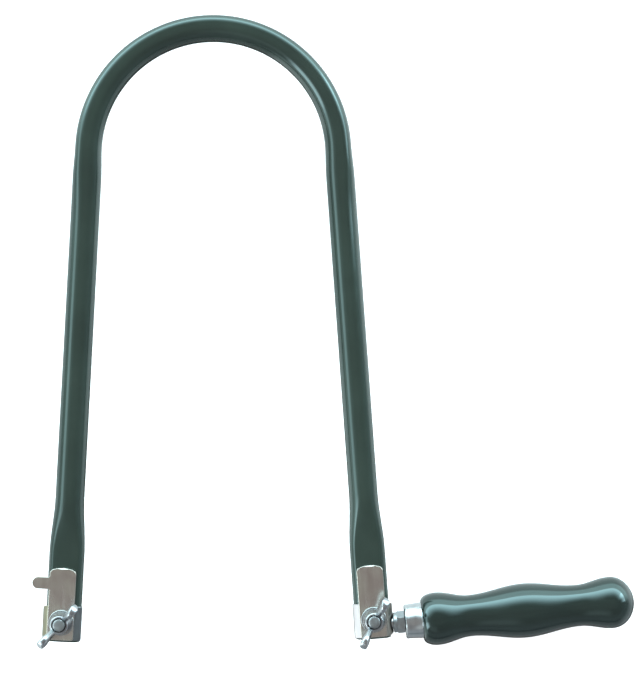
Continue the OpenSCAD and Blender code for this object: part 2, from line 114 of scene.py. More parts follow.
class ClampSizes(bpy.types.PropertyGroup):
    """Sizes of the two blade clamps"""

    saddle_t: length("Saddle Sheet", "Thickness of the saddle", 1.2)
    saddle_rise: length("Saddle Rise", "Height of the saddle above the open end", 0.8)
    saddle_len: length("Saddle Length", "Length of the saddle along the leg", 14.2)
    saddle_overhang: length("Saddle Overhang", "Reach past the tube's inner edge", 0.6)
    saddle_drop: length("Saddle Drop", "Depth of the flank below the middle of the tube", 4)
    saddle_taper: length("Saddle Taper", "Narrowing of the flank at each side", 1.5)
    saddle_corner_r: length("Saddle Corners", "Radius of the flank's free corners", 2.4)
    lip_w: length("Lip", "Width of the inner edge that leans over the tube", 3.4)
    lip_knee: length("Lip Knee", "Softness of the knee where the lip starts", 0.6)
    seat_gap: length("Seat Gap", "Gap between the saddle and the tube", 0.05)
    plate_w: length("Plate Width", "Width of the jaw plate", 11)
    plate_rise: length("Plate Rise", "Height of the plate's lower edge above the open end", 1.1)
    plate_reach: length("Plate Reach", "From the open end to the heel of the plate", 31.1)
    heel_r: length("Heel Radius", "Radius of the arched heel", 11.5)
    shoulder_r: length("Shoulder Radius", "Radius of the shoulders beside the heel", 2)
    plate_hole_d: length("Plate Hole", "Hole of the jaw plate round the bolt", 6.3)
    tab_reach: length("Tab Reach", "From the middle of the plate to the end of the tab", 12.5)
    tab_w: length("Tab Width", "Width of the thumb tab", 4.8)
    tab_rise: length("Tab Rise", "Height of the thumb tab above the open end", 24.5)
    front_shift: length("Front Shift", "Sideways place of the front plate, outwards", 0.4)
    rear_shift: length("Rear Shift", "Sideways place of the rear plate, outwards", -0.3)
    sheet_edge: length("Sheet Edge", "Rounding of the sheet edges", 0.28)


class ScrewSizes(bpy.types.PropertyGroup):
    """Sizes of the bolts, washers and nuts"""

    bolt_d: length("Thread", "Outer diameter of the thread", 4.9)
    pitch: length("Pitch", "Rise of the thread in one turn", 0.8)
    head_d: length("Head", "Diameter of the bolt's domed head", 12)
    head_h: length("Head Height", "Height of the bolt's domed head", 2.8)
    washer_d: length("Washer", "Outer diameter of the washer", 10.6)
    boss_d: length("Boss", "Diameter of the wing nut's boss at the washer", 9.4)
    boss_top_d: length("Boss Top", "Diameter of the boss at its top", 7.6)
    boss_h: length("Boss Height", "Height of the boss", 6.5)
    wing_span: length("Wing Span", "Distance between the tips of the wings", 22.9)
    wing_h: length("Wing Height", "Height of the wings", 12.6)
    wing_t: length("Wing Thickness", "Thickness of a wing", 3.3)
    wing_lobe_r: length("Wing Lobe", "Radius of the lobe at the end of a wing", 3.4)
    wing_lean: angle("Wing Lean", "Lean of each wing", 9)
    front_turn: angle("Front Turn", "Turn of the front wing nut", 57)
    rear_turn: angle("Rear Turn", "Turn of the rear wing nut", 66)
    nut_flats: length("Nut Flats", "Width of the lock nut across its flats", 8)
    nut_hex_len: length("Nut Hexagon", "Length of the lock nut's hexagon", 3.4)
    nut_collar_len: length("Nut Collar", "Length of the lock nut's collar", 1.5)


class HandleSizes(bpy.types.PropertyGroup):
    """Sizes of the handle and its ferrule"""

    ferrule_d: length("Ferrule", "Outer diameter of the ferrule at its front", 14.2)
    ferrule_back_d: length("Ferrule Back", "Outer diameter of the ferrule at the wood", 15)
    ferrule_len: length("Ferrule Length", "From the ferrule's front to the wood", 7.2)
    ferrule_wall: length("Ferrule Wall", "Wall thickness of the ferrule", 0.8)
    ferrule_edge: length("Ferrule Edge", "Rounding of the ferrule's front", 0.6)
    # A hair under the solid's belly, so that no rounding reaches past it
    belly_d: length("Belly", "Diameter of the belly", 2 * (GRIP["dims"]["r_mm"] - 0.01))
    wood_len: length("Wood Length", "Wood behind the ferrule", GRIP["dims"]["length_mm"])


class Finishes(bpy.types.PropertyGroup):
    """Colours of the finishes"""

    tube_green: colour("Tube Green", "Lacquer of the bow", (0.018, 0.026, 0.0205))
    handle_green: colour("Handle Green", "Lacquer of the handle", (0.009, 0.0135, 0.011))
    # The colour at each saddle's right is painted shade, for the side that faces away from the
    # light
    front_zinc: colour("Front Zinc", "Front saddle at its left", (0.275, 0.25, 0.175))
    front_bend: colour("Front Bend", "Front saddle at its right", (0.19, 0.20, 0.205))
    rear_zinc: colour("Rear Zinc", "Rear saddle at its left", (0.33, 0.29, 0.285))
    rear_bend: colour("Rear Bend", "Rear saddle at its right", (0.33, 0.295, 0.265))
    dull_steel: colour("Dull Steel", "Oiled steel of the lock nut", (0.36, 0.38, 0.39))
    nickel: colour("Nickel", "Plated jaw plates", (0.61, 0.585, 0.52))
    bright_zinc: colour("Bright Zinc", "Plated washers and nuts", (0.44, 0.455, 0.46))
    ferrule: colour("Ferrule Nickel", "Plated ferrule", (0.53, 0.55, 0.56))
    floor: colour("Floor", "Pale floor under the saw", (0.74, 0.74, 0.74))


# Places worked out from the frame

def axes_matrix(origin, x, y, z):
    """Matrix that puts a local frame's axes and origin in the saw's frame."""
    m = Matrix.Identity(4)
    for column, axis in enumerate((x, y, z, origin)):
        m.col[column][:3] = axis
    return m


def joint_point(name):
    """Place of a joint, brought to the middle plane of the tube."""
    x, y, _ = JOINTS[name]["pos_m"]
    return Vector((x, y, MIDDLE_Z))


def leg_frame(side):
    """Frame of a leg: origin in the open end, X to the right, Y up the leg, Z up."""
    lean = SIDES[side] * SPLAY
    right, up = Vector((cos(lean), sin(lean), 0)), Vector((-sin(lean), cos(lean), 0))
    reach = bpy.context.scene.clamp_sizes.plate_reach
    return axes_matrix(joint_point(f"{side}_jaw_tilt") - up * reach, right, up, UP)


def bolt_frame(side):
    """Frame of a clamp bolt, turned as its leg, on the middle plane of the tube."""
    place = leg_frame(side)
    place.translation = joint_point(f"{side}_nut_turn")
    return place


def bolt_place(side):
    """Place of a clamp bolt in the frame of its leg."""
    return leg_frame(side).inverted() @ bolt_frame(side).translation


def handle_frame():
    """Frame of the handle: origin in the wood's front end, Z along the handle."""
    along = Vector(GRIP["axis"]).normalized()
    shoulder = Vector(GRIP["pos_m"]) - along * MM * GRIP["dims"]["length_mm"] / 2
    return axes_matrix(shoulder, UP.cross(along), UP, along)


def shifted(z):
    """Matrix that moves a form along its Z."""
    return Matrix.Translation((0, 0, z))


def flat_width():
    """Width of a flattened end, which keeps the length of the tube's wall."""
    s = bpy.context.scene.bow_sizes
    return (pi * s.tube_d - (pi - 2) * s.flat_t) / 2


def levels(node):
    """Lowest and highest level of a node above the middle plane of the tube."""
    low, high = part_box(node)
    return low.z - MIDDLE_Z, high.z - MIDDLE_Z


# Clearance of each hole round the thread
HOLE_PLAY = 0.2 * MM


def hole_r():
    """Radius of a hole that the thread passes freely."""
    return bpy.context.scene.screw_sizes.bolt_d / 2 + HOLE_PLAY


# Mesh tools

def eased(t):
    """Share of a change, eased at both ends."""
    t = max(0.0, min(1.0, t))
    return (1 - cos(pi * t)) / 2


def stations(start, reach, steps):
    """Evenly spaced values from a start over a reach, both ends included."""
    return [start + reach * k / steps for k in range(steps + 1)]


def fuller(v, power):
    """A sine or cosine raised to a power, with its sign kept."""
    return abs(v) ** power * (1 if v > 0 else -1)


def arc(cx, cy, r, start, end, steps):
    """Points along an arc, angles in degrees."""
    turns = [radians(a) for a in stations(start, end - start, steps)]
    return [(cx + r * cos(a), cy + r * sin(a)) for a in turns]


def circle_points(cx, cy, r, sides=48):
    """Points of a hole, run the other way from an outline."""
    return arc(cx, cy, r, 0, -360, sides)[:-1]


def quarter(r, turns):
    """Inset and drop of a rounded edge at angles in degrees, ending on its side."""
    return [(r * (1 - sin(radians(a))), r * (1 - cos(radians(a)))) for a in turns]


def skin(bm, rings, loop=False, caps=False):
    """Faces between rings of equal count; loop joins the last ring to the first."""
    rows = [[bm.verts.new(p) for p in ring] for ring in rings]
    pairs = list(zip(rows, rows[1:]))
    if loop:
        pairs.append((rows[-1], rows[0]))
    for a, b in pairs:
        for i in range(len(a)):
            j = (i + 1) % len(a)
            bm.faces.new((a[i], a[j], b[j], b[i]))
    if caps:
        bm.faces.new(rows[0][::-1])
        bm.faces.new(rows[-1])
    return rows


def lathe(bm, profile, sides, loop=False):
    """Turned form round Z from points of radius and height."""
    turns = stations(0, 2 * pi, sides)[:-1]
    rings = [[(r * cos(a), r * sin(a), z) for a in turns] for r, z in profile]
    rows = skin(bm, rings, loop=loop)
    bmesh.ops.remove_doubles(bm, verts=[v for row in rows for v in row], dist=1e-7)


def inward_normals(points):
    """Normals that point to the left of a closed run of points, longer at its corners."""
    normals = []
    for i, p in enumerate(points):
        before = (Vector(p) - Vector(points[i - 1])).normalized()
        after = (Vector(points[(i + 1) % len(points)]) - Vector(p)).normalized()
        along = (before + after).normalized()
        normals.append(Vector((-along.y, along.x)) / max(0.5, along.dot(before)))
    return normals


def sheet_solid(bm, outline, holes, rows_at):
    """Sheet with rounded edges. rows_at(i, is_hole) gives inset and level from top to bottom."""
    ends = []
    for number, points in enumerate([outline] + holes):
        rows = [rows_at(i, number > 0) for i in range(len(points))]
        places = list(zip(points, inward_normals(points), rows))
        skinned = skin(bm, [
            [(p[0] + n.x * row[k][0], p[1] + n.y * row[k][0], row[k][1]) for p, n, row in places]
            for k in range(len(rows[0]))
        ])
        ends.append((skinned[0], skinned[-1]))
    for loops in zip(*ends):
        edges = [bm.edges.get((row[i - 1], row[i])) for row in loops for i in range(len(row))]
        bmesh.ops.triangle_fill(bm, use_beauty=True, use_dissolve=False, edges=edges)


def edge_rows(high, low, r):
    """Rows of a plain sheet edge, rounded above and below."""
    turn, flat = quarter(r, (0, 30, 60, 90)), 1.6 * r
    over = [(inset, high - drop) for inset, drop in turn]
    under = [(inset, low + drop) for inset, drop in turn[::-1]]
    return [(flat, high)] + over + under + [(flat, low)]


def make_object(name, bm, place=None):
    """Object at the origin whose mesh holds its place."""
    if place is not None:
        bmesh.ops.transform(bm, matrix=place, verts=bm.verts)
    bmesh.ops.recalc_face_normals(bm, faces=bm.faces)
    mesh = bpy.data.meshes.new(name)
    bm.to_mesh(mesh)
    bm.free()
    obj = bpy.data.objects.new(name, mesh)
    bpy.context.scene.collection.objects.link(obj)
    return obj


def turned(name, profile, sides=64, place=None, loop=False):
    """Object turned round Z from points of radius and height."""
    bm = bmesh.new()
    lathe(bm, profile, sides, loop)
    return make_object(name, bm, place)


def modified(obj, kind, **settings):
    """Applies a modifier with given settings to an object."""
    modifier = obj.modifiers.new(kind.title(), kind)
    for key, value in settings.items():
        setattr(modifier, key, value)
    settle(obj)


def settle(obj):
    """Turns an object's modifiers into its mesh."""
    graph = bpy.context.evaluated_depsgraph_get()
    mesh = bpy.data.meshes.new_from_object(obj.evaluated_get(graph))
    old = obj.data
    obj.modifiers.clear()
    obj.data = mesh
    bpy.data.meshes.remove(old)
    mesh.name = obj.name


def drop(obj):
    """Removes a helper object and its mesh."""
    mesh = obj.data
    bpy.data.objects.remove(obj)
    bpy.data.meshes.remove(mesh)


def joined(name, objects):
    """One object from several."""
    bm = bmesh.new()
    for obj in objects:
        bm.from_mesh(obj.data)
        drop(obj)
    return make_object(name, bm)


def cut(obj, cutter, operation="DIFFERENCE"):
    """Cuts an object with a helper, which is used up."""
    modified(obj, "BOOLEAN", operation=operation, solver="EXACT", object=cutter)
    drop(cutter)


def bore(obj, place, radius, depth):
    """Cuts a round hole along Z of a place, from its origin to a depth."""
    cut(obj, turned("drill", [(0, 0), (radius, 0), (radius, depth), (0, depth)], 48, place))


def even_normals(obj):
    """Keeps broad faces flat beside their rounded edges."""
    obj.data.shade_smooth()
    modified(obj, "WEIGHTED_NORMAL")


def smooth_by_angle(obj, turn):
    """Smooth faces, sharp only where they meet at more than an angle in degrees."""
    obj.data.shade_smooth()
    obj.data.set_sharp_from_angle(angle=radians(turn))


def hand_over(obj, body, node, finish):
    """Gives a piece its body, the node that it stands for, and its finish."""
    obj.data.materials.clear()
    obj.data.materials.append(finish(obj.name))
    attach(obj, body)
    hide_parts(node)


# Nodes

class Field:
    """Output of a node, from which plain arithmetic makes further nodes"""

    def __init__(self, tree, socket):
        self.tree, self.socket = tree, socket

    def __add__(self, other):
        return field("ADD", self, other)

    def __sub__(self, other):
        return field("SUBTRACT", self, other)

    def __rsub__(self, other):
        return field("SUBTRACT", other, self)

    def __mul__(self, other):
        return field("MULTIPLY", self, other)

    def __truediv__(self, other):
        return field("DIVIDE", self, other)

    def __pow__(self, other):
        return field("POWER", self, other)

    def ranged(self, start, end, low=0.0, high=1.0, **settings):
        """This field taken from one range to another, and held at its ends."""
        node = put(self.tree, "ShaderNodeMapRange", {
            "Value": self, "From Min": start, "From Max": end, "To Min": low, "To Max": high,
        }, **settings)
        return Field(self.tree, node.outputs[0])


def field(operation, *values):
    """Field that a math node gives from fields and numbers."""
    tree = next(value.tree for value in values if isinstance(value, Field))
    node = put(tree, "ShaderNodeMath", dict(enumerate(values)), operation=operation)
    return Field(tree, node.outputs[0])


def put(tree, kind, inputs=None, **settings):
    """Adds a node with given properties and inputs."""
    node = tree.nodes.new(kind)
    for key, value in settings.items():
        setattr(node, key, value)
    wire(tree, node, inputs or {})
    return node


def wire(tree, node, inputs):
    """Links or sets a node's inputs, each given by its label or number."""
    for key, value in inputs.items():
        value = value.socket if isinstance(value, Field) else value
        if isinstance(value, bpy.types.NodeSocket):
            tree.links.new(value, node.inputs[key])
        else:
            node.inputs[key].default_value = value


# Finishes

def new_material(name):
    """Material with an empty Principled surface."""
    material = bpy.data.materials.new(name)
    material.use_nodes = True
    tree = material.node_tree
    return material, tree, tree.nodes["Principled BSDF"]


def ramp(tree, source, *stops):
    """Colour ramp from a value through two stops of place and colour."""
    node = put(tree, "ShaderNodeValToRGB", {"Fac": source})
    for element, (place, shade) in zip(node.color_ramp.elements, stops):
        element.position = place
        element.color = (*shade, 1)
    return node.outputs["Color"]


def grey(v):
    """Grey as a colour."""
    return (v, v, v)


def scaled(shade, factor):
    """A colour made lighter or darker."""
    return tuple(min(1.0, c * factor) for c in shade[:3])


def noise(tree, coords, scale, detail, roughness=0.5):
    """Noise of a scale on given coordinates."""
    return put(tree, "ShaderNodeTexNoise", {
        "Vector": coords, "Scale": scale, "Detail": detail, "Roughness": roughness,
    }).outputs["Fac"]


def object_coords(tree, stretch=(1, 1, 1), turn=0, centre=(0, 0, 0)):
    """Object coordinates, centred, turned round Z and stretched."""
    return put(tree, "ShaderNodeMapping", {
        "Vector": put(tree, "ShaderNodeTexCoord").outputs["Object"],
        "Location": centre, "Rotation": (0, 0, turn), "Scale": [1 / s for s in stretch],
    }, vector_type="TEXTURE").outputs["Vector"]


def bump(tree, height, strength, distance):
    """Normal from a height."""
    return put(tree, "ShaderNodeBump", {
        "Strength": strength, "Distance": distance, "Height": height,
    }).outputs["Normal"]


def multiplied(tree, a, b, share=1):
    """Product of two colours, mixed into the first by a share."""
    values = {"Factor": share, 6: a, 7: b}
    return put(
        tree, "ShaderNodeMix", values, data_type="RGBA", blend_type="MULTIPLY"
    ).outputs[2]


def tube_lacquer(name):
    """Stoved lacquer on steel tube, with a faint ripple and fine specks."""
    green = bpy.context.scene.finishes.tube_green
    material, tree, shader = new_material(f"{name} lacquer")
    coords = object_coords(tree)
    cloud, specks = noise(tree, coords, 45, 4), noise(tree, coords, 160, 5)
    wire(tree, shader, {
        "Base Color": ramp(tree, cloud, (0.35, scaled(green, 0.88)), (0.7, scaled(green, 1.18))),
        "Roughness": ramp(tree, specks, (0.3, grey(0.08)), (0.75, grey(0.14))),
        "IOR": 1.6,
        "Specular Tint": (0.80, 1.0, 0.98, 1),
        "Normal": bump(tree, noise(tree, coords, 900, 2), 0.12, 0.00004),
    })
    return material


def wood_lacquer(name):
    """Glossy lacquer over turned beech, with the grain just showing through."""
    green = bpy.context.scene.finishes.handle_green
    material, tree, shader = new_material(f"{name} lacquer")
    coords = object_coords(tree, (8, 90, 90), HANDLE_TURN, GRIP["pos_m"])
    grain, specks = noise(tree, coords, 5, 6, 0.62), noise(tree, object_coords(tree), 120, 4)
    wire(tree, shader, {
        "Base Color": ramp(tree, grain, (0.3, scaled(green, 0.82)), (0.72, scaled(green, 1.22))),
        "Roughness": ramp(tree, specks, (0.3, grey(0.06)), (0.75, grey(0.10))),
        "IOR": 1.6,
        "Specular Tint": (0.80, 1.0, 1.0, 1),
        "Normal": bump(tree, grain, 0.08, 0.00005),
    })
    return material


def plated(name, shade, tint, rough, depth, stretch=(1, 1, 1), turn=0, wash=None):
    """Plated steel with a tint that drifts, a fine grain and, if wanted, painted shade laid over
    it.
    """
    material, tree, shader = new_material(f"{name} plating")
    tone = ramp(tree, noise(tree, object_coords(tree), 130, 2), (0.32, tint), (0.68, shade))
    grain = noise(tree, object_coords(tree, stretch, turn), 400, 4, 0.6)
    wear_and_painted_shade = multiplied(tree, tone, ramp(tree, grain, (0.3, grey(0.82)), (0.7, grey(1.0))), 0.5)
    # Where given, painted shade is multiplied into the worn colour
    if wash:
        wear_and_painted_shade = multiplied(tree, wear_and_painted_shade, wash(tree))
    wire(tree, shader, {
        "Metallic": 1.0,
        "Base Color": wear_and_painted_shade,
        "Roughness": ramp(tree, grain, (0.25, grey(rough * 0.75)), (0.75, grey(rough * 1.3))),
        "Normal": bump(tree, grain, 0.25, depth),
    })
    return material


def zinc_sheet(name):
    """Passivated zinc with painted shade: its colour turns from the lit left edge of the saddle to
    the shaded right one.
    """
    finishes = bpy.context.scene.finishes
    side = name.split("_")[0]
    # The colour at the right paints the shade of the side that faces away from the light
    left, right = getattr(finishes, f"{side}_zinc"), getattr(finishes, f"{side}_bend")

    def wash(tree):
        # The painted shade is centred on the bolt and spreads over a sixtieth of a metre
        coords = object_coords(tree, (60, 60, 60), 0, bolt_frame(side).translation)
        across = Field(tree, put(tree, "ShaderNodeSeparateXYZ", {0: coords}).outputs["X"]) + 0.5
        return ramp(tree, across, (0.2, grey(1)), (0.75, tuple(r / l for r, l in zip(right, left))))

    return plated(
        name, tuple(left), scaled(left, 0.9), 0.34, 0.00001, (1, 0.15, 1), 0.1, wash
    )


# Colour of each plating with its share, its tint as a share or a colour, its roughness, and
# the depth, the stretch and the turn of its grain
PLATINGS = {
    "sheet nickel": ("nickel", 1, (0.53, 0.475, 0.44), 0.24, 0.000006, (1, 0.1, 1), 0.06),
    "turned zinc": ("bright_zinc", 1, 0.82, 0.26, 0.000008),
    "rolled zinc": ("bright_zinc", 0.78, 0.62, 0.42, 0.00002),
    "cast zinc": ("bright_zinc", 1, (0.31, 0.312, 0.335), 0.27, 0.00002),
    "oiled steel": ("dull_steel", 1, 0.8, 0.36, 0.00001),
    "ferrule nickel": ("ferrule", 1, 0.92, 0.2, 0.000004, (2, 0.1, 0.1), HANDLE_TURN),
}


def plating(kind):
    """Finish of a kind of plating."""
    key, share, tint, *rest = PLATINGS[kind]
    shade = getattr(bpy.context.scene.finishes, key)
    tint = tint if isinstance(tint, tuple) else scaled(shade, tint)
    return lambda name: plated(name, scaled(shade, share), tint, *rest)


# Bow

# Sides of the tube, steps round the arch, and the share of the points that the flats take up
TUBE_SIDES = 96
ARCH_STEPS = 96
FLAT_CROWDING = 2.2
# Rounding of the rim at its middle row, as a share of the rim
RIM_SHARE = 0.3


def tube_section(y, leg_len, inset):
    """Section of the tube at height y of a leg, out of the bow and up."""
    s = bpy.context.scene.bow_sizes
    oval = eased((y - leg_len + s.bend_blend) / s.bend_blend)
    pressed = eased((y - leg_len + s.press_blend) / s.press_blend)
    flat = 1 - eased((y - s.flat_len) / s.flat_blend)
    round_w = s.tube_d + (s.bend_w - s.tube_d) * oval - 2 * inset
    round_t = s.tube_d + (s.bend_t - s.tube_d) * oval - 2 * inset
    flat_t = s.flat_t - 2 * inset
    flat_w = flat_width() - 2 * inset
    points = []
    for i in range(TUBE_SIDES):
        a = 2 * pi * (i + 0.5) / TUBE_SIDES
        side = 1 if cos(a) > 0 else -1
        # The flats take a share of the points, so that their faces stay even
        flat_x = side * (flat_w - flat_t) / 2 * min(1, abs(cos(a)) * FLAT_CROWDING)
        flat_x += flat_t / 2 * cos(a)
        # Bending has pressed the outer wall of the arch flatter
        square = 1 - s.press * pressed if side > 0 else 1
        round_x = round_w / 2 * fuller(cos(a), square)
        round_z = round_t / 2 * fuller(sin(a), square)
        points.append((
            (1 - flat) * round_x + flat * flat_x,
            (1 - flat) * round_z + flat * flat_t / 2 * sin(a),
        ))
    return points


def bow_rings(inset, end_gap):
    """Rings of the bow from the rear open end round the arch to the front one."""
    s = bpy.context.scene.bow_sizes
    arch_r = MM * MOUNTS["arch_hanger"]["dims"]["r_mm"] + s.bend_w / 2
    rear, front = leg_frame("rear"), leg_frame("front")
    middle_x = (rear.translation.x + front.translation.x) / 2
    leg_len = (rear.translation.x - middle_x - arch_r * cos(SPLAY)) / sin(SPLAY)
    arch_y = rear.translation.y + leg_len * cos(SPLAY) - arch_r * sin(SPLAY)
    flat_end, straight_to = s.flat_len + s.flat_blend, leg_len - s.bend_blend
    heights = [end_gap] + stations(0, s.flat_len, 4)[1:-1]
    heights += stations(s.flat_len, s.flat_blend, 24)
    heights += stations(flat_end, straight_to - flat_end, 24)[1:-1]
    heights += stations(straight_to, s.bend_blend, 12)

    def leg_rings(leg, sign):
        return [
            [leg @ Vector((sign * x, y, z)) for x, z in tube_section(y, leg_len, inset)]
            for y in heights[::sign]
        ]

    centre = Vector((middle_x, arch_y, MIDDLE_Z))
    section = tube_section(leg_len, leg_len, inset)
    arch = [
        [centre + out * (arch_r + x) + Vector((0, 0, z)) for x, z in section]
        for out in (
            Vector((cos(a), sin(a), 0)) for a in stations(SPLAY, pi - 2 * SPLAY, ARCH_STEPS)[1:-1]
        )
    ]
    return leg_rings(rear, 1) + arch + leg_rings(front, -1)


class FRETSAW_OT_bow(bpy.types.Operator):
    """Bend the bow from one tube, flatten its ends and drill them"""

    bl_idname = "fretsaw.bow"
    bl_label = "Bow"

    def execute(self, context):
        s = context.scene.bow_sizes
        edge = s.rim * RIM_SHARE
        outer, rounded, face_out, face_in, inner = (bow_rings(*place) for place in (
            (0, s.rim), (edge, edge), (s.rim, 0), (s.wall - s.rim, 0), (s.wall, s.rim)
        ))
        bm = bmesh.new()
        rings = [face_out[0], rounded[0]] + outer + [rounded[-1], face_out[-1], face_in[-1]]
        skin(bm, rings + inner[::-1] + [face_in[0]], loop=True)
        bow = make_object("bow_tube", bm)
        for side in SIDES:
            bore(bow, bolt_frame(side) @ shifted(-s.tube_d), hole_r(), 2 * s.tube_d)
        smooth_by_angle(bow, 40)
        hand_over(bow, "bow", "frame_tube", tube_lacquer)
        return {"FINISHED"}


# Saddles

# Rounding of the inner corners, start of the flank's taper as a share of the bend, and the
# slope at which the lip ends
SADDLE_CORNER = 0.5 * MM
TAPER_SHARE = 0.35
LIP_SLOPE = 0.64
# Cuts that let the sheet bend: pitch and number over the lip, and number round the bend
LIP_PITCH, LIP_CUTS, BEND_CUTS = 0.34 * MM, 10, 12


def saddle_unrolled():
    """Length of the saddle's sheet up to its bend, round it, and in all."""
    s, c = bpy.context.scene.bow_sizes, bpy.context.scene.clamp_sizes
    bend_at = flat_width() - s.flat_t / 2 + c.saddle_overhang
    bend_len = (s.flat_t / 2 + c.seat_gap + c.saddle_t / 2) * pi / 2
    return bend_at, bend_len, bend_at + bend_len + c.saddle_drop


def saddle_place(side, u, v, out):
    """Point of a saddle: u along the sheet from its inner edge, v up the leg, out of the tube."""
    c = bpy.context.scene.clamp_sizes
    bend_at, bend_len, _ = saddle_unrolled()
    mid = bend_len * 2 / pi
    turn = min(max((u - bend_at) / mid, 0), pi / 2)
    past = max(u - bend_at - bend_len, 0)
    x = -flat_width() / 2 - c.saddle_overhang + min(u, bend_at) + (mid + out) * sin(turn)
    # The inner edge leans over the rounded side of the tube
    down = max(0, c.lip_w - u)
    lean = LIP_SLOPE * down ** 2 / (down + c.lip_knee)
    return (SIDES[side] * x, v, (mid + out) * cos(turn) - past - lean)


class FRETSAW_OT_saddles(bpy.types.Operator):
    """Fold the fixed jaws from sheet over the tube ends"""

    bl_idname = "fretsaw.saddles"
    bl_label = "Saddles"

    def execute(self, context):
        for side in SIDES:
            saddle = self.fold(context.scene.clamp_sizes, side)
            if side == "rear":
                # The handle's stud passes the flank
                along = handle_frame()
                reach = (along.translation - leg_frame(side).translation).length
                bore(saddle, along @ shifted(-reach), hole_r(), reach)
            even_normals(saddle)
            hand_over(saddle, "bow", f"{side}_saddle", zinc_sheet)
        return {"FINISHED"}

    def fold(self, c, side):
        """Sheet of a saddle, cut flat and folded over its tube end."""
        bend_at, bend_len, width = saddle_unrolled()
        low, high = c.saddle_rise, c.saddle_rise + c.saddle_len
        small, big = SADDLE_CORNER, c.saddle_corner_r
        taper_at = bend_at + TAPER_SHARE * bend_len
        outline = arc(small, low + small, small, 180, 270, 5) + [(taper_at, low)]
        outline += arc(width - big, low + c.saddle_taper + big, big, 284, 360, 8)
        outline += arc(width - big, high - c.saddle_taper - big, big, 0, 76, 8)
        outline += [(taper_at, high)] + arc(small, high - small, small, 90, 180, 5)
        bolt = bolt_place(side)
        hole_u = SIDES[side] * bolt.x + flat_width() / 2 + c.saddle_overhang
        rows = edge_rows(c.saddle_t / 2, -c.saddle_t / 2, c.sheet_edge)
        bm = bmesh.new()
        sheet_solid(
            bm, outline, [circle_points(hole_u, bolt.y, hole_r())], lambda i, is_hole: rows
        )
        cuts = stations(0, LIP_PITCH * LIP_CUTS, LIP_CUTS)[1:]
        for place in cuts + stations(bend_at, bend_len, BEND_CUTS):
            bmesh.ops.bisect_plane(
                bm, geom=bm.verts[:] + bm.edges[:] + bm.faces[:],
                plane_co=(place, 0, 0), plane_no=(1, 0, 0), dist=1e-7,
            )
        for v in bm.verts:
            v.co = saddle_place(side, *v.co)
        return make_object(f"{side}_saddle_sheet", bm, leg_frame(side))


# Jaw plates

# Radii of the plate's lower corners and of the fillets beside its tab
PLATE_CORNER, TAB_FILLET = 1.0 * MM, 0.7 * MM
# Sheared edge of the tab, and how far the plate's side is passed where the tab starts
SHEARED_EDGE, TAB_START = 0.08 * MM, 0.05 * MM
# Bend of the heel: its radius at the sides, what the nose adds, and half the nose with its fade
BEND_R, NOSE_R, NOSE_W, NOSE_FADE = 0.2 * MM, 0.6 * MM, 0.7 * MM, 2.0 * MM
# How far the turned-down heel leans in under the plate
HEEL_LEAN = 0.15 * MM


def tab_points(at):
    """Points of a thumb tab at the right (1) or the left (-1) of its plate."""
    c = bpy.context.scene.clamp_sizes
    low, high = c.tab_rise - c.tab_w / 2, c.tab_rise + c.tab_w / 2
    edge = at * c.plate_w / 2
    fillet = quarter(TAB_FILLET, range(0, 91, 15))
    end = arc(c.tab_reach - c.tab_w / 2, c.tab_rise, c.tab_w / 2, -90, 90, 20)
    points = [(edge + at * b, low - a) for a, b in fillet] + [(at * x, y) for x, y in end]
    return (points + [(edge + at * a, high + b) for a, b in fillet])[::at]


def plate_outline(tab_side):
    """Outline of a jaw plate and the share of heel at each of its points."""
    c = bpy.context.scene.clamp_sizes
    half, corner, shoulder = c.plate_w / 2, PLATE_CORNER, c.shoulder_r
    foot, heel_y, right = c.plate_rise + corner, c.plate_reach - c.heel_r, half - shoulder
    # The heel's arc runs between two small arcs that round its shoulders
    gap = c.heel_r - shoulder
    tip = degrees(asin(right / gap))
    shoulder_y = heel_y + gap * cos(radians(tip))
    points, heel = [], []
    for part, first, last in (
        (arc(half - corner, foot, corner, 270, 360, 6), 0, 0),
        (tab_points(1) if tab_side == 1 else [], 0, 0),
        (arc(right, shoulder_y, shoulder, 0, 90 - tip, 8), 0, 1),
        (arc(0, heel_y, c.heel_r, 90 - tip, 90 + tip, 40)[1:-1], 1, 1),
        (arc(-right, shoulder_y, shoulder, 90 + tip, 180, 8), 1, 0),
        (tab_points(-1) if tab_side == -1 else [], 0, 0),
        (arc(-half + corner, foot, corner, 180, 270, 6), 0, 0),
    ):
        points += part
        heel += stations(first, last - first, max(1, len(part) - 1))[:len(part)]
    return points, heel


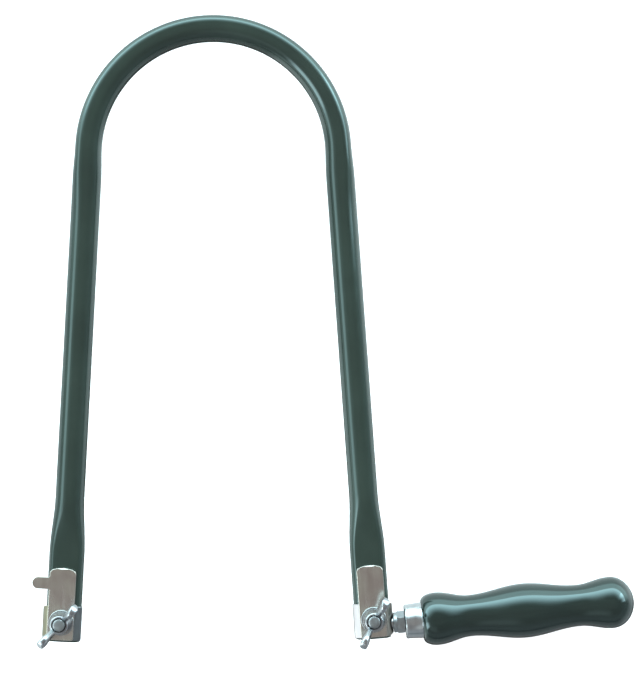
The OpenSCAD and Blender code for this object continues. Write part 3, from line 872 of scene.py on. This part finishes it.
class FRETSAW_OT_jaw_plates(bpy.types.Operator):
    """Stamp the moving jaws with their turned-down heels"""

    bl_idname = "fretsaw.jaw_plates"
    bl_label = "Jaw Plates"

    def execute(self, context):
        for side in SIDES:
            self.stamp(context.scene.clamp_sizes, side)
        return {"FINISHED"}

    def stamp(self, c, side):
        """Jaw plate of a side, the front one with its thumb tab on the outside."""
        foot, high = levels(f"{side}_jaw_plate")
        low = levels(f"{side}_saddle")[1]
        thick, edge = high - low, c.sheet_edge
        outline, heel = plate_outline(SIDES[side] if side == "front" else 0)
        plain, sheared = edge_rows(high, low, edge), edge_rows(high, low, SHEARED_EDGE)

        def turned_rows(x):
            # The heel is bent over a broad nose in its middle and sharply at its sides
            bend = BEND_R + NOSE_R * (1 - eased((abs(x) - NOSE_W) / NOSE_FADE))
            rows = [(bend * 1.3, high)]
            rows += [(inset, high - drop) for inset, drop in quarter(bend, (10, 35, 62))]
            rows += [(0, foot + 0.5 * edge + (high - bend - foot) * 0.5), (0, foot + 0.6 * edge)]
            rows += [(0.5 * edge, foot), (thick - 0.5 * edge, foot)]
            return rows + [(thick, foot + 0.5 * edge), (thick + HEEL_LEAN, low)]

        def rows_at(i, is_hole):
            if is_hole:
                return plain
            # The thumb tab keeps its sheared edge
            if abs(outline[i][0]) > c.plate_w / 2 + TAB_START:
                return sheared
            f, turned_down = eased(heel[i]), turned_rows(outline[i][0])
            return [
                (a[0] + (b[0] - a[0]) * f, a[1] + (b[1] - a[1]) * f)
                for a, b in zip(plain, turned_down)
            ]

        bolt = bolt_place(side)
        shift = SIDES[side] * getattr(c, f"{side}_shift")
        bm = bmesh.new()
        sheet_solid(bm, outline, [circle_points(-shift, bolt.y, c.plate_hole_d / 2)], rows_at)
        place = leg_frame(side) @ Matrix.Translation((bolt.x + shift, 0, 0))
        plate = make_object(f"{side}_jaw", bm, place)
        even_normals(plate)
        hand_over(plate, f"{side}_jaw", f"{side}_jaw_plate", plating("sheet nickel"))


# Forms rolled up from a grid

def rolled_tree(name, join, outline, **defaults):
    """Form round Z whose outline(around, along, value) gives the radius and the height."""
    if name in bpy.data.node_groups:
        return bpy.data.node_groups[name]
    tree = bpy.data.node_groups.new(name, "GeometryNodeTree")
    for label, default in defaults.items():
        kind = "NodeSocketInt" if isinstance(default, int) else "NodeSocketFloat"
        socket = tree.interface.new_socket(label.title(), in_out="INPUT", socket_type=kind)
        socket.default_value = default
    tree.interface.new_socket("Geometry", in_out="OUTPUT", socket_type="NodeSocketGeometry")
    inputs = put(tree, "NodeGroupInput")
    value = {label: Field(tree, inputs.outputs[label.title()]) for label in defaults}
    grid = put(tree, "GeometryNodeMeshGrid", {
        "Size X": 1, "Size Y": 1, "Vertices X": value["columns"], "Vertices Y": value["rows"],
    })
    split = put(tree, "ShaderNodeSeparateXYZ", {
        0: put(tree, "GeometryNodeInputPosition").outputs[0],
    })
    around, along = (Field(tree, split.outputs[axis]) + 0.5 for axis in "XY")
    radius, height = outline(around, along, value)
    turn = around * (2 * pi)
    place = put(tree, "ShaderNodeCombineXYZ", {
        "X": radius * field("COSINE", turn), "Y": radius * field("SINE", turn), "Z": height,
    })
    shape = grid.outputs["Mesh"]
    for kind, values in (
        ("GeometryNodeSetPosition", {"Position": place.outputs[0]}),
        ("GeometryNodeMergeByDistance", {"Distance": join}),
        ("GeometryNodeRealizeInstances", {}),
        ("GeometryNodeSetMaterial", {}),
    ):
        shape = put(tree, kind, {0: shape, **values}).outputs[0]
    put(tree, "NodeGroupOutput", {0: shape})
    return tree


def ellipse(reach):
    """Height of a quarter of an ellipse at a share of its reach."""
    return field("SQRT", field("MAXIMUM", 1.0 - reach ** 2.0, 0.0))


def grown(name, kind, join, outline, **values):
    """Plain mesh grown by a tree with given inputs."""
    obj = bpy.data.objects.new(name, bpy.data.meshes.new(name))
    bpy.context.scene.collection.objects.link(obj)
    modifier = obj.modifiers.new("Shape", "NODES")
    modifier.node_group = rolled_tree(kind, join, outline, **values)
    for item in modifier.node_group.interface.items_tree:
        if item.in_out == "INPUT":
            modifier[item.identifier] = values[item.name.lower()]
    settle(obj)
    return obj


# Bolts, washers and nuts

# Depth of the thread, its power, where under one fills out the ridges, and its domed end
THREAD_DEPTH, RIDGE_POWER, THREAD_DOME = 0.42 * MM, 0.8, 0.28 * MM
# Columns round the thread and rows in each turn of it
THREAD_COLUMNS, TURN_ROWS = 49, 14
# Rounding of the bolt's head at its back: inset of the rim, inset of the flat, and step
HEAD_RIM, HEAD_FLAT, HEAD_STEP = 0.12 * MM, 0.3 * MM, 0.02 * MM
SHANK_PLAY = 0.1 * MM
WASHER_EDGE = 0.16 * MM


def thread_outline(around, along, value):
    """Threaded rod with a ridge that climbs by one pitch a turn, and a domed end."""
    height = along * value["length"]
    # The ridge is a rounded wave of the height less the climb of this angle
    wave = field("COSINE", (height / value["pitch"] - around) * (2 * pi))
    ridge = field("MULTIPLY_ADD", wave, 0.5, 0.5) ** RIDGE_POWER
    full = value["diameter"] / 2.0 - (1.0 - ridge) * value["depth"]
    near = field("MINIMUM", (value["length"] - height) / value["dome"], 1.0)
    # The first row closes the foot
    return full * ellipse(1.0 - near) * field("GREATER_THAN", along, 0.0005), height


class FRETSAW_OT_bolts(bpy.types.Operator):
    """Turn the clamp bolts with domed heads and rolled threads"""

    bl_idname = "fretsaw.bolts"
    bl_label = "Clamp Bolts"

    def execute(self, context):
        s = context.scene.screw_sizes
        for side in SIDES:
            low, high = levels(f"{side}_clamp_bolt")
            back, start = low + s.head_h, levels(f"{side}_saddle")[1]
            place = bolt_frame(side)
            rod = grown(
                f"{side}_thread", "Threaded Rod", 1e-6, thread_outline, diameter=s.bolt_d,
                depth=THREAD_DEPTH, pitch=s.pitch, length=high - start, dome=THREAD_DOME,
                columns=THREAD_COLUMNS, rows=int((high - start) / s.pitch * TURN_ROWS),
            )
            rod.data.transform(place @ shifted(start))
            head_r, shank_r, top = s.head_d / 2, s.bolt_d / 2 - SHANK_PLAY, start + s.pitch
            dome_r = (s.head_d ** 2 / 4 + s.head_h ** 2) / (2 * s.head_h)
            turns = stations(0, asin(head_r / dome_r), 18)
            profile = [(dome_r * sin(a), low + dome_r * (1 - cos(a))) for a in turns]
            profile += [(head_r - HEAD_RIM, back - HEAD_STEP), (head_r - HEAD_FLAT, back)]
            profile += [(shank_r, back), (shank_r, top), (0, top)]
            shank = turned(f"{side}_shank", profile, 72, place)
            bolt = joined(f"{side}_bolt", [rod, shank])
            smooth_by_angle(bolt, 50)
            hand_over(bolt, "bow", f"{side}_clamp_bolt", plating("rolled zinc"))
        return {"FINISHED"}


class FRETSAW_OT_washers(bpy.types.Operator):
    """Punch the flat washers under the wing nuts"""

    bl_idname = "fretsaw.washers"
    bl_label = "Washers"

    def execute(self, context):
        r_in, r_out, e = hole_r(), context.scene.screw_sizes.washer_d / 2, WASHER_EDGE
        for side in SIDES:
            low, high = levels(f"{side}_washer")
            # Punched edge: rolled over above, square below
            washer = turned(f"{side}_washer_ring", [
                (r_in + e, high), (r_in, high - e), (r_in, low), (r_out - 0.3 * e, low),
                (r_out, low + 0.3 * e), (r_out, high - 1.6 * e),
                (r_out - 0.5 * e, high - 0.5 * e), (r_out - 1.6 * e, high),
            ], 96, bolt_frame(side), loop=True)
            even_normals(washer)
            body = f"{side}_washer_part"
            hand_over(washer, body, f"{side}_washer", plating("turned zinc"))
        return {"FINISHED"}


# Wing: half width and waist in millimetres, root's distance from the axis, its height as a
# share of the boss, how much thinner the arm gets in its middle and the lobe at its edge
WING_ROOT_MM, WING_WAIST_MM, ROOT_X, ROOT_SHARE = 2.1, 0.25, 1.6 * MM, 0.42
ARM_THINNING, LOBE_THINNING, LOBE_END = 0.26, 0.1, 0.02
# Stations along a wing, the share of them that the arm takes, and points round a ring
WING_STEPS, ARM_SHARE, WING_SIDES = 26, 0.62, 24
# Powers that make the section of a wing fuller than an ellipse, across and through
WING_POWERS = (0.85, 0.75)
# Casting: edge of the boss, its draft at the foot and the top with their heights
CAST_EDGE, DRAFT, DRAFT_FOOT, DRAFT_TOP = 0.35 * MM, 0.1 * MM, 1.5 * MM, 1.2 * MM
# Voxels of the casting in millimetres, its softening, the thread's clearance, the countersink
VOXEL_MM, SOFTENING, SOFT_STEPS = 0.16, 0.6, 10
THREAD_PLAY, COUNTERSINK = 0.03 * MM, 0.5 * MM


def wing_rings(s):
    """Rings of one wing, from inside the boss to its rounded tip."""
    root = Vector((ROOT_X, 0, ROOT_SHARE * s.boss_h))
    lobe = Vector((s.wing_span / 2 - s.wing_lobe_r, 0, s.wing_h - s.wing_lobe_r))
    along = (lobe - root).normalized()
    across = Vector((-along.z, 0, along.x))
    reach = (lobe - root).length
    rings = []
    for t in stations(0, 1, WING_STEPS):
        # The last third of the stations goes round the lobe
        if t < ARM_SHARE:
            q = t / ARM_SHARE
            d = reach * t / ARM_SHARE
            widening = (s.wing_lobe_r / MM - WING_ROOT_MM) * eased(q)
            half_w = (WING_ROOT_MM + widening - WING_WAIST_MM * sin(pi * q)) * MM
            half_t = s.wing_t / 2 * (1 - ARM_THINNING * sin(pi * q))
        else:
            a = (t - ARM_SHARE) / (1 - ARM_SHARE) * pi / 2
            d = reach + s.wing_lobe_r * sin(a)
            half_w = s.wing_lobe_r * max(LOBE_END, cos(a))
            half_t = s.wing_t / 2 * (1 - LOBE_THINNING + LOBE_THINNING * cos(a))
        rings.append([
            root + along * d + across * half_w * fuller(cos(b), WING_POWERS[0])
            + Vector((0, 1, 0)) * half_t * fuller(sin(b), WING_POWERS[1])
            for b in stations(0, 2 * pi, WING_SIDES)[:-1]
        ])
    return rings


class FRETSAW_OT_wing_nuts(bpy.types.Operator):
    """Cast the wing nuts with their boss and two leaning wings"""

    bl_idname = "fretsaw.wing_nuts"
    bl_label = "Wing Nuts"

    def execute(self, context):
        s = context.scene.screw_sizes
        for side in SIDES:
            nut = self.cast(s, f"{side}_wing_nut_casting")
            turn = Matrix.Rotation(getattr(s, f"{side}_turn"), 4, "Z")
            low, _ = levels(f"{side}_wing_nut")
            nut.data.transform(bolt_frame(side) @ shifted(low) @ turn)
            smooth_by_angle(nut, 42)
            hand_over(nut, f"{side}_nut", f"{side}_wing_nut", plating("cast zinc"))
        return {"FINISHED"}

    def cast(self, s, name):
        """Boss and wings fused to one soft casting, then threaded and countersunk."""
        bm = bmesh.new()
        e, foot_r, top_r, top = CAST_EDGE, s.boss_d / 2, s.boss_top_d / 2, s.boss_h
        lathe(bm, [
            (0, 0), (foot_r - e, 0), (foot_r, e), (foot_r - DRAFT, DRAFT_FOOT),
            (top_r + DRAFT, top - DRAFT_TOP), (top_r, top - e), (top_r - e, top), (0, top),
        ], 64)
        for half_turn in (0, pi):
            lean = (
                Matrix.Rotation(half_turn, 4, "Z") @ shifted(top / 2)
                @ Matrix.Rotation(s.wing_lean, 4, "X") @ shifted(-top / 2)
            )
            skin(bm, [[lean @ p for p in ring] for ring in wing_rings(s)], caps=True)
        # The casting is fused at a thousand times its size, where the voxels are coarse enough
        nut = make_object(name, bm, Matrix.Scale(1 / MM, 4))
        modified(nut, "REMESH", mode="VOXEL", voxel_size=VOXEL_MM)
        modified(nut, "SMOOTH", factor=SOFTENING, iterations=SOFT_STEPS)
        nut.data.transform(Matrix.Scale(MM, 4))
        r, wide, sunk = s.bolt_d / 2 + THREAD_PLAY, COUNTERSINK, top - COUNTERSINK
        bore(nut, shifted(-top), r, 3 * top)
        cut(nut, turned("mouth", [
            (0, sunk), (r, sunk), (r + wide, top), (r + wide, top + MM), (0, top + MM),
        ]))
        # The softened base is set back on its seat
        for v in nut.data.vertices:
            v.co.z = max(0.0, v.co.z)
        return nut


# Handle and its fixing

# Gap between the lock nut and the ferrule
NUT_GAP = 0.06 * MM
# Chamfer of the hexagon: width at its ends as a share of the flats, its spread, its slope
NUT_END_SHARE, NUT_SPREAD, NUT_SLOPE = 0.98, 1.02, 0.577
# Collar: radius as a share of the flats, points of its rounded front as inset and height
COLLAR_SHARE, COLLAR_FRONT = 0.52, [(0.5, 0), (0.15, 0.12), (0, 0.45)]
NUT_BEVEL, NUT_OVERLAP = 0.1 * MM, 0.1 * MM


def handle_levels():
    """Starts of the lock nut and of the ferrule, from the wood's front end."""
    screws = bpy.context.scene.screw_sizes
    ferrule = -bpy.context.scene.handle_sizes.ferrule_len
    return ferrule - screws.nut_hex_len - screws.nut_collar_len - NUT_GAP, ferrule


class FRETSAW_OT_lock_nut(bpy.types.Operator):
    """Cut the lock nut with its round collar"""

    bl_idname = "fretsaw.lock_nut"
    bl_label = "Lock Nut"

    def execute(self, context):
        s = context.scene.screw_sizes
        corner_r = s.nut_flats / 2 / cos(pi / 6)
        low, high = s.nut_collar_len, s.nut_collar_len + s.nut_hex_len
        bm = bmesh.new()
        corners = stations(0, 2 * pi, 6)[:-1]
        skin(bm, [
            [(corner_r * cos(a), corner_r * sin(a), z) for a in corners] for z in (low, high)
        ], caps=True)
        nut = make_object("lock_nut_hex", bm)
        # The corners are taken off by a turned form that is as wide as the flats at its ends
        end_r, wide = s.nut_flats / 2 * NUT_END_SHARE, corner_r * NUT_SPREAD
        slope = (corner_r - end_r) * NUT_SLOPE
        cut(nut, turned("lock_nut_turned", [
            (0, low - MM), (end_r, low - MM), (end_r, low), (wide, low + slope),
            (wide, high - slope), (end_r, high), (end_r, high + MM), (0, high + MM),
        ], 96), "INTERSECT")
        collar_r, top = s.nut_flats * COLLAR_SHARE, low + NUT_OVERLAP
        front = [(collar_r - inset * MM, z * MM) for inset, z in COLLAR_FRONT]
        collar = turned("lock_nut_collar", [(0, 0)] + front + [(collar_r, top), (0, top)])
        nut = joined("lock_nut_steel", [nut, collar])
        modified(
            nut, "BEVEL", width=NUT_BEVEL, segments=2, limit_method="ANGLE",
            angle_limit=radians(38),
        )
        nut.data.transform(handle_frame() @ shifted(handle_levels()[0]))
        even_normals(nut)
        hand_over(nut, "bow", "lock_nut", plating("oiled steel"))
        return {"FINISHED"}


# Ferrule: rounding of its hole, rolled step behind its front as rise and height, edge at the
# wood as inset and height
MOUTH_EDGE = 0.08 * MM
FERRULE_STEP = [(0.03, 0.5), (-0.06, 0.75)]
FERRULE_BACK = [(0.1, -0.35), (0, -0.12), (0.06, -0.02)]


class FRETSAW_OT_ferrule(bpy.types.Operator):
    """Draw the ferrule that closes the front of the handle"""

    bl_idname = "fretsaw.ferrule"
    bl_label = "Ferrule"

    def execute(self, context):
        s = context.scene.handle_sizes
        start = handle_levels()[1]
        r, back_r, hole = s.ferrule_d / 2, s.ferrule_back_d / 2, hole_r()
        wall, e = s.ferrule_wall, s.ferrule_edge
        profile = [(hole, start + wall), (hole, start + MOUTH_EDGE), (hole + MOUTH_EDGE, start)]
        profile += [(x, start + y) for x, y in arc(r - e, e, e, 270, 360, 10)]
        profile += [(r + rise * MM, start + e + z * MM) for rise, z in FERRULE_STEP]
        profile += [(back_r - inset * MM, z * MM) for inset, z in FERRULE_BACK]
        profile += [(back_r - wall, FERRULE_BACK[-1][1] * MM), (r - wall, start + wall)]
        ferrule = turned("ferrule_cup", profile, 128, handle_frame(), loop=True)
        smooth_by_angle(ferrule, 30)
        hand_over(ferrule, "bow", "ferrule", plating("ferrule nickel"))
        return {"FINISHED"}


# Swells of the wood: place along it and radius as a share of the belly's
SWELL_SHARES = [
    (0.0, 0.711), (0.068, 0.969), (0.226, 0.760), (0.483, 1.0), (0.738, 0.764), (0.893, 0.951),
]
# Play at each end of the wood, and of the spigot to its sides and front
WOOD_PLAY, SPIGOT_PLAY, SPIGOT_GAP = 0.03 * MM, 0.05 * MM, 0.06 * MM
# How far the spigot reaches into the wood
SPIGOT_HOLD = 0.2 * MM


def wood_outline(around, along, value):
    """Turned wood that swells three times between two rounded ends."""
    # Rows crowd towards both ends, where the outline turns fastest
    place = field("MULTIPLY_ADD", field("COSINE", along * pi), -0.5, 0.5)
    (_, mouth), (front, first), (back, _) = SWELL_SHARES[0], SWELL_SHARES[1], SWELL_SHARES[-1]
    radius = None
    for (z0, r0), (z1, r1) in zip(SWELL_SHARES[1:], SWELL_SHARES[2:]):
        swell = (1.0 - field("COSINE", place.ranged(z0, z1, 0, pi))) * ((r1 - r0) / 2)
        radius = swell if radius is None else radius + swell
    radius = radius + first - (1.0 - ellipse(place.ranged(front, 0.0))) * (first - mouth)
    radius = radius * ellipse(place.ranged(back, 1.0)) * field("GREATER_THAN", place, 0.0)
    return radius * value["radius"], place * value["length"]


class FRETSAW_OT_handle(bpy.types.Operator):
    """Turn the wooden handle, with its spigot in the ferrule"""

    bl_idname = "fretsaw.handle"
    bl_label = "Handle"

    def execute(self, context):
        s = context.scene.handle_sizes
        wood = grown(
            "wood", "Turned Wood", 2e-6, wood_outline, length=s.wood_len - 2 * WOOD_PLAY,
            radius=s.belly_d / 2, columns=129, rows=321,
        )
        wood.data.transform(shifted(WOOD_PLAY))
        play = s.ferrule_wall + SPIGOT_PLAY
        first = handle_levels()[1] + s.ferrule_wall + SPIGOT_GAP
        spigot = turned("spigot", [
            (0, first), (s.ferrule_d / 2 - play, first),
            (s.ferrule_back_d / 2 - play, SPIGOT_HOLD), (0, SPIGOT_HOLD),
        ])
        handle = joined("handle_wood", [wood, spigot])
        handle.data.transform(handle_frame())
        smooth_by_angle(handle, 45)
        hand_over(handle, "bow", "handle", wood_lacquer)
        return {"FINISHED"}


class FRETSAW_OT_stud(bpy.types.Operator):
    """Finish the hidden stud that joins the handle to the leg"""

    bl_idname = "fretsaw.stud"
    bl_label = "Handle Stud"

    def execute(self, context):
        stud = frame["nodes"]["handle_stud"]
        stud.data.materials.clear()
        stud.data.materials.append(plating("turned zinc")("handle_stud"))
        return {"FINISHED"}


# Stage

# The photograph: frame size, and metres to a pixel at the middle plane of the tube
PHOTO_W, PHOTO_H = 640, 676
PIXEL = 0.418 * MM
# Pixel of the point midway between the open ends, and the turn of the saw in the frame
OPEN_ENDS_PX = (218.0, 639.1)
SAW_TURN = 0.0094
CAMERA_HEIGHT, SENSOR_MM = 0.76, 36
# Half of the floor's side, its level, its glow, and the wall round it
FLOOR_HALF, FLOOR_Z, FLOOR_GLOW = 3, -0.1 * MM, 0.72
WALL_R, WALL_H = 2.9, 2.5
# Grey of the room where no part of it adds light
SKY = 0.06
# Parts of the room: heading, half width and soft edge of each, lower level and its soft edge,
# upper level and its soft edge, all in degrees, and the light that it adds
ROOM = [
    (90, 180, 1, 0, 12, 90, 1, (0.27, 0.27, 0.275)),
    (90, 180, 1, 60, 20, 90, 1, (0.08, 0.07, 0.055)),
    (93, 57, 18, 15, 3, 19, 44, (6.3, 8.8, 9.5)),
    (25, 16, 3, 15, 3, 19, 30, (4.6, 6.3, 6.9)),
    (90, 60, 32, -16, 12, 16, 2, (2.6, 3.5, 3.6)),
    (90, 70, 40, -90, 1, -16, 12, (1.1, 1.3, 1.35)),
    (0, 40, 30, -50, 15, 0, 12, (0.30, 0.34, 0.36)),
    (270, 80, 40, -48, 12, 20, 30, (0.10, 0.15, 0.18)),
    (290, 75, 40, -60, 15, -8, 12, (0.30, 0.30, 0.30)),
    (190, 24, 8, 14, 9, 32, 16, (2.2, 2.9, 3.0)),
    (207, 8, 10, 14, 10, 40, 14, (3.2, 3.8, 4.1)),
    (207, 18, 10, -60, 15, 13, 7, (0.8, 0.9, 0.9)),
    (195, 60, 30, 30, 14, 50, 25, (0.32, 0.38, 0.38)),
    (180, 40, 34, -40, 12, 8, 10, (0.2, 0.25, 0.23)),
]


class FRETSAW_OT_stage(bpy.types.Operator):
    """Lay the pale floor, set the camera above the saw and light the room"""

    bl_idname = "fretsaw.stage"
    bl_label = "Stage"

    def execute(self, context):
        self.lay_floor(context)
        self.set_camera(context)
        self.light_room(context)
        return {"FINISHED"}

    def lay_floor(self, context):
        """Pale floor and the wall round it."""
        bm = bmesh.new()
        bmesh.ops.create_grid(bm, x_segments=8, y_segments=8, size=FLOOR_HALF)
        floor = make_object("floor", bm, shifted(FLOOR_Z))
        material, tree, shader = new_material("floor")
        shade = context.scene.finishes.floor
        cloud = noise(tree, object_coords(tree), 3, 2)
        # A light table, so that the saw throws hardly any shadow
        wire(tree, shader, {
            "Base Color": ramp(tree, cloud, (0.3, scaled(shade, 0.99)), (0.7, tuple(shade))),
            "Roughness": 0.8, "Emission Color": (1, 1, 1, 1), "Emission Strength": FLOOR_GLOW,
        })
        floor.data.materials.append(material)
        # Gloss on the saw shows the room and not the bright table
        floor.visible_glossy = False
        # A low camera sees this pale wall behind the saw, which takes no light from the room
        backdrop = turned("backdrop", [(WALL_R, FLOOR_Z), (WALL_R, WALL_H)])
        backdrop.data.materials.append(material)
        backdrop.visible_diffuse = backdrop.visible_glossy = backdrop.visible_shadow = False

    def set_camera(self, context):
        """Camera that looks straight down, placed so that the saw lies as in the photograph."""
        middle = (leg_frame("rear").translation + leg_frame("front").translation) / 2
        dx = (PHOTO_W / 2 - OPEN_ENDS_PX[0]) * PIXEL
        dy = (OPEN_ENDS_PX[1] - PHOTO_H / 2) * PIXEL
        c, s = cos(SAW_TURN), sin(SAW_TURN)
        spot = middle + Vector((dx * c + dy * s, dy * c - dx * s, CAMERA_HEIGHT))
        data = bpy.data.cameras.new("camera")
        data.sensor_width = SENSOR_MM
        data.lens = SENSOR_MM * CAMERA_HEIGHT / (PHOTO_H * PIXEL)
        data.clip_start, data.clip_end = 0.01, 20
        camera = bpy.data.objects.new("camera", data)
        camera.matrix_world = Matrix.Translation(spot) @ Matrix.Rotation(-SAW_TURN, 4, "Z")
        context.scene.collection.objects.link(camera)
        context.scene.camera = camera

    def light_room(self, context):
        """Light from the room alone, as soft areas on a dim sky."""
        world = bpy.data.worlds.new("studio")
        context.scene.world = world
        world.use_nodes = True
        tree = world.node_tree
        way = put(tree, "ShaderNodeTexCoord").outputs["Generated"]
        rise = Field(tree, put(tree, "ShaderNodeSeparateXYZ", {0: way}).outputs["Z"])
        level = put(tree, "ShaderNodeVectorMath", {0: way, 1: (1, 1, 0)}, operation="MULTIPLY")
        heading = put(tree, "ShaderNodeVectorMath", {0: level.outputs[0]}, operation="NORMALIZE")
        sky = put(tree, "ShaderNodeRGB").outputs[0]
        sky.default_value = (*grey(SKY), 1)
        for part in ROOM:
            sky = self.room_part(tree, rise, heading.outputs[0], sky, part)
        wire(tree, tree.nodes["Background"], {"Color": sky})
        context.scene.view_settings.view_transform = "Standard"
        context.scene.view_settings.look = "None"

    def room_part(self, tree, rise, heading, sky, part):
        """Light of the room over a range of headings and levels, added to the sky."""
        toward, half, soft, low, low_soft, high, high_soft, light = part
        way = (cos(radians(toward)), sin(radians(toward)), 0)
        dot = put(tree, "ShaderNodeVectorMath", {0: heading, 1: way}, operation="DOT_PRODUCT")
        across = Field(tree, dot.outputs["Value"])
        share = None
        for source, start, end in (
            (across, cos(radians(min(180, half + soft))), cos(radians(half))),
            (rise, sin(radians(low)), sin(radians(low + low_soft))),
            (rise, sin(radians(min(90, high + high_soft))), sin(radians(high))),
        ):
            # A soft edge without width marks no border
            if abs(start - end) < 0.001:
                continue
            step = source.ranged(start, end, interpolation_type="SMOOTHSTEP")
            share = step if share is None else share * step
        return put(
            tree, "ShaderNodeVectorMath", {0: share, 1: light, 2: sky}, operation="MULTIPLY_ADD"
        ).outputs[0]


class FRETSAW_PT_panel(bpy.types.Panel):
    """Lists the saw's pieces in the order in which they are made"""

    bl_label = "Fret Saw"
    bl_idname = "FRETSAW_PT_panel"
    bl_space_type = "VIEW_3D"
    bl_region_type = "UI"
    bl_category = "Fret Saw"

    def draw(self, context):
        for operator in OPERATORS:
            self.layout.operator(operator.bl_idname)
        for group in GROUPS:
            box = self.layout.box()
            box.label(text=group.__doc__)
            sizes = getattr(context.scene, GROUPS[group])
            for key in sizes.bl_rna.properties.keys():
                if key not in ("name", "rna_type"):
                    box.prop(sizes, key)


GROUPS = {
    BowSizes: "bow_sizes",
    ClampSizes: "clamp_sizes",
    ScrewSizes: "screw_sizes",
    HandleSizes: "handle_sizes",
    Finishes: "finishes",
}
OPERATORS = [
    FRETSAW_OT_stage,
    FRETSAW_OT_bow,
    FRETSAW_OT_saddles,
    FRETSAW_OT_jaw_plates,
    FRETSAW_OT_bolts,
    FRETSAW_OT_washers,
    FRETSAW_OT_wing_nuts,
    FRETSAW_OT_stud,
    FRETSAW_OT_lock_nut,
    FRETSAW_OT_ferrule,
    FRETSAW_OT_handle,
]


def register():
    for group, name in GROUPS.items():
        bpy.utils.register_class(group)
        setattr(bpy.types.Scene, name, PointerProperty(type=group))
    for operator in OPERATORS:
        bpy.utils.register_class(operator)
    bpy.utils.register_class(FRETSAW_PT_panel)


def unregister():
    bpy.utils.unregister_class(FRETSAW_PT_panel)
    for operator in reversed(OPERATORS):
        bpy.utils.unregister_class(operator)
    for group, name in GROUPS.items():
        delattr(bpy.types.Scene, name)
        bpy.utils.unregister_class(group)


def main():
    register()
    for operator in OPERATORS:
        family, name = operator.bl_idname.split(".")
        getattr(getattr(bpy.ops, family), name)()


if __name__ == "__main__":
    main()
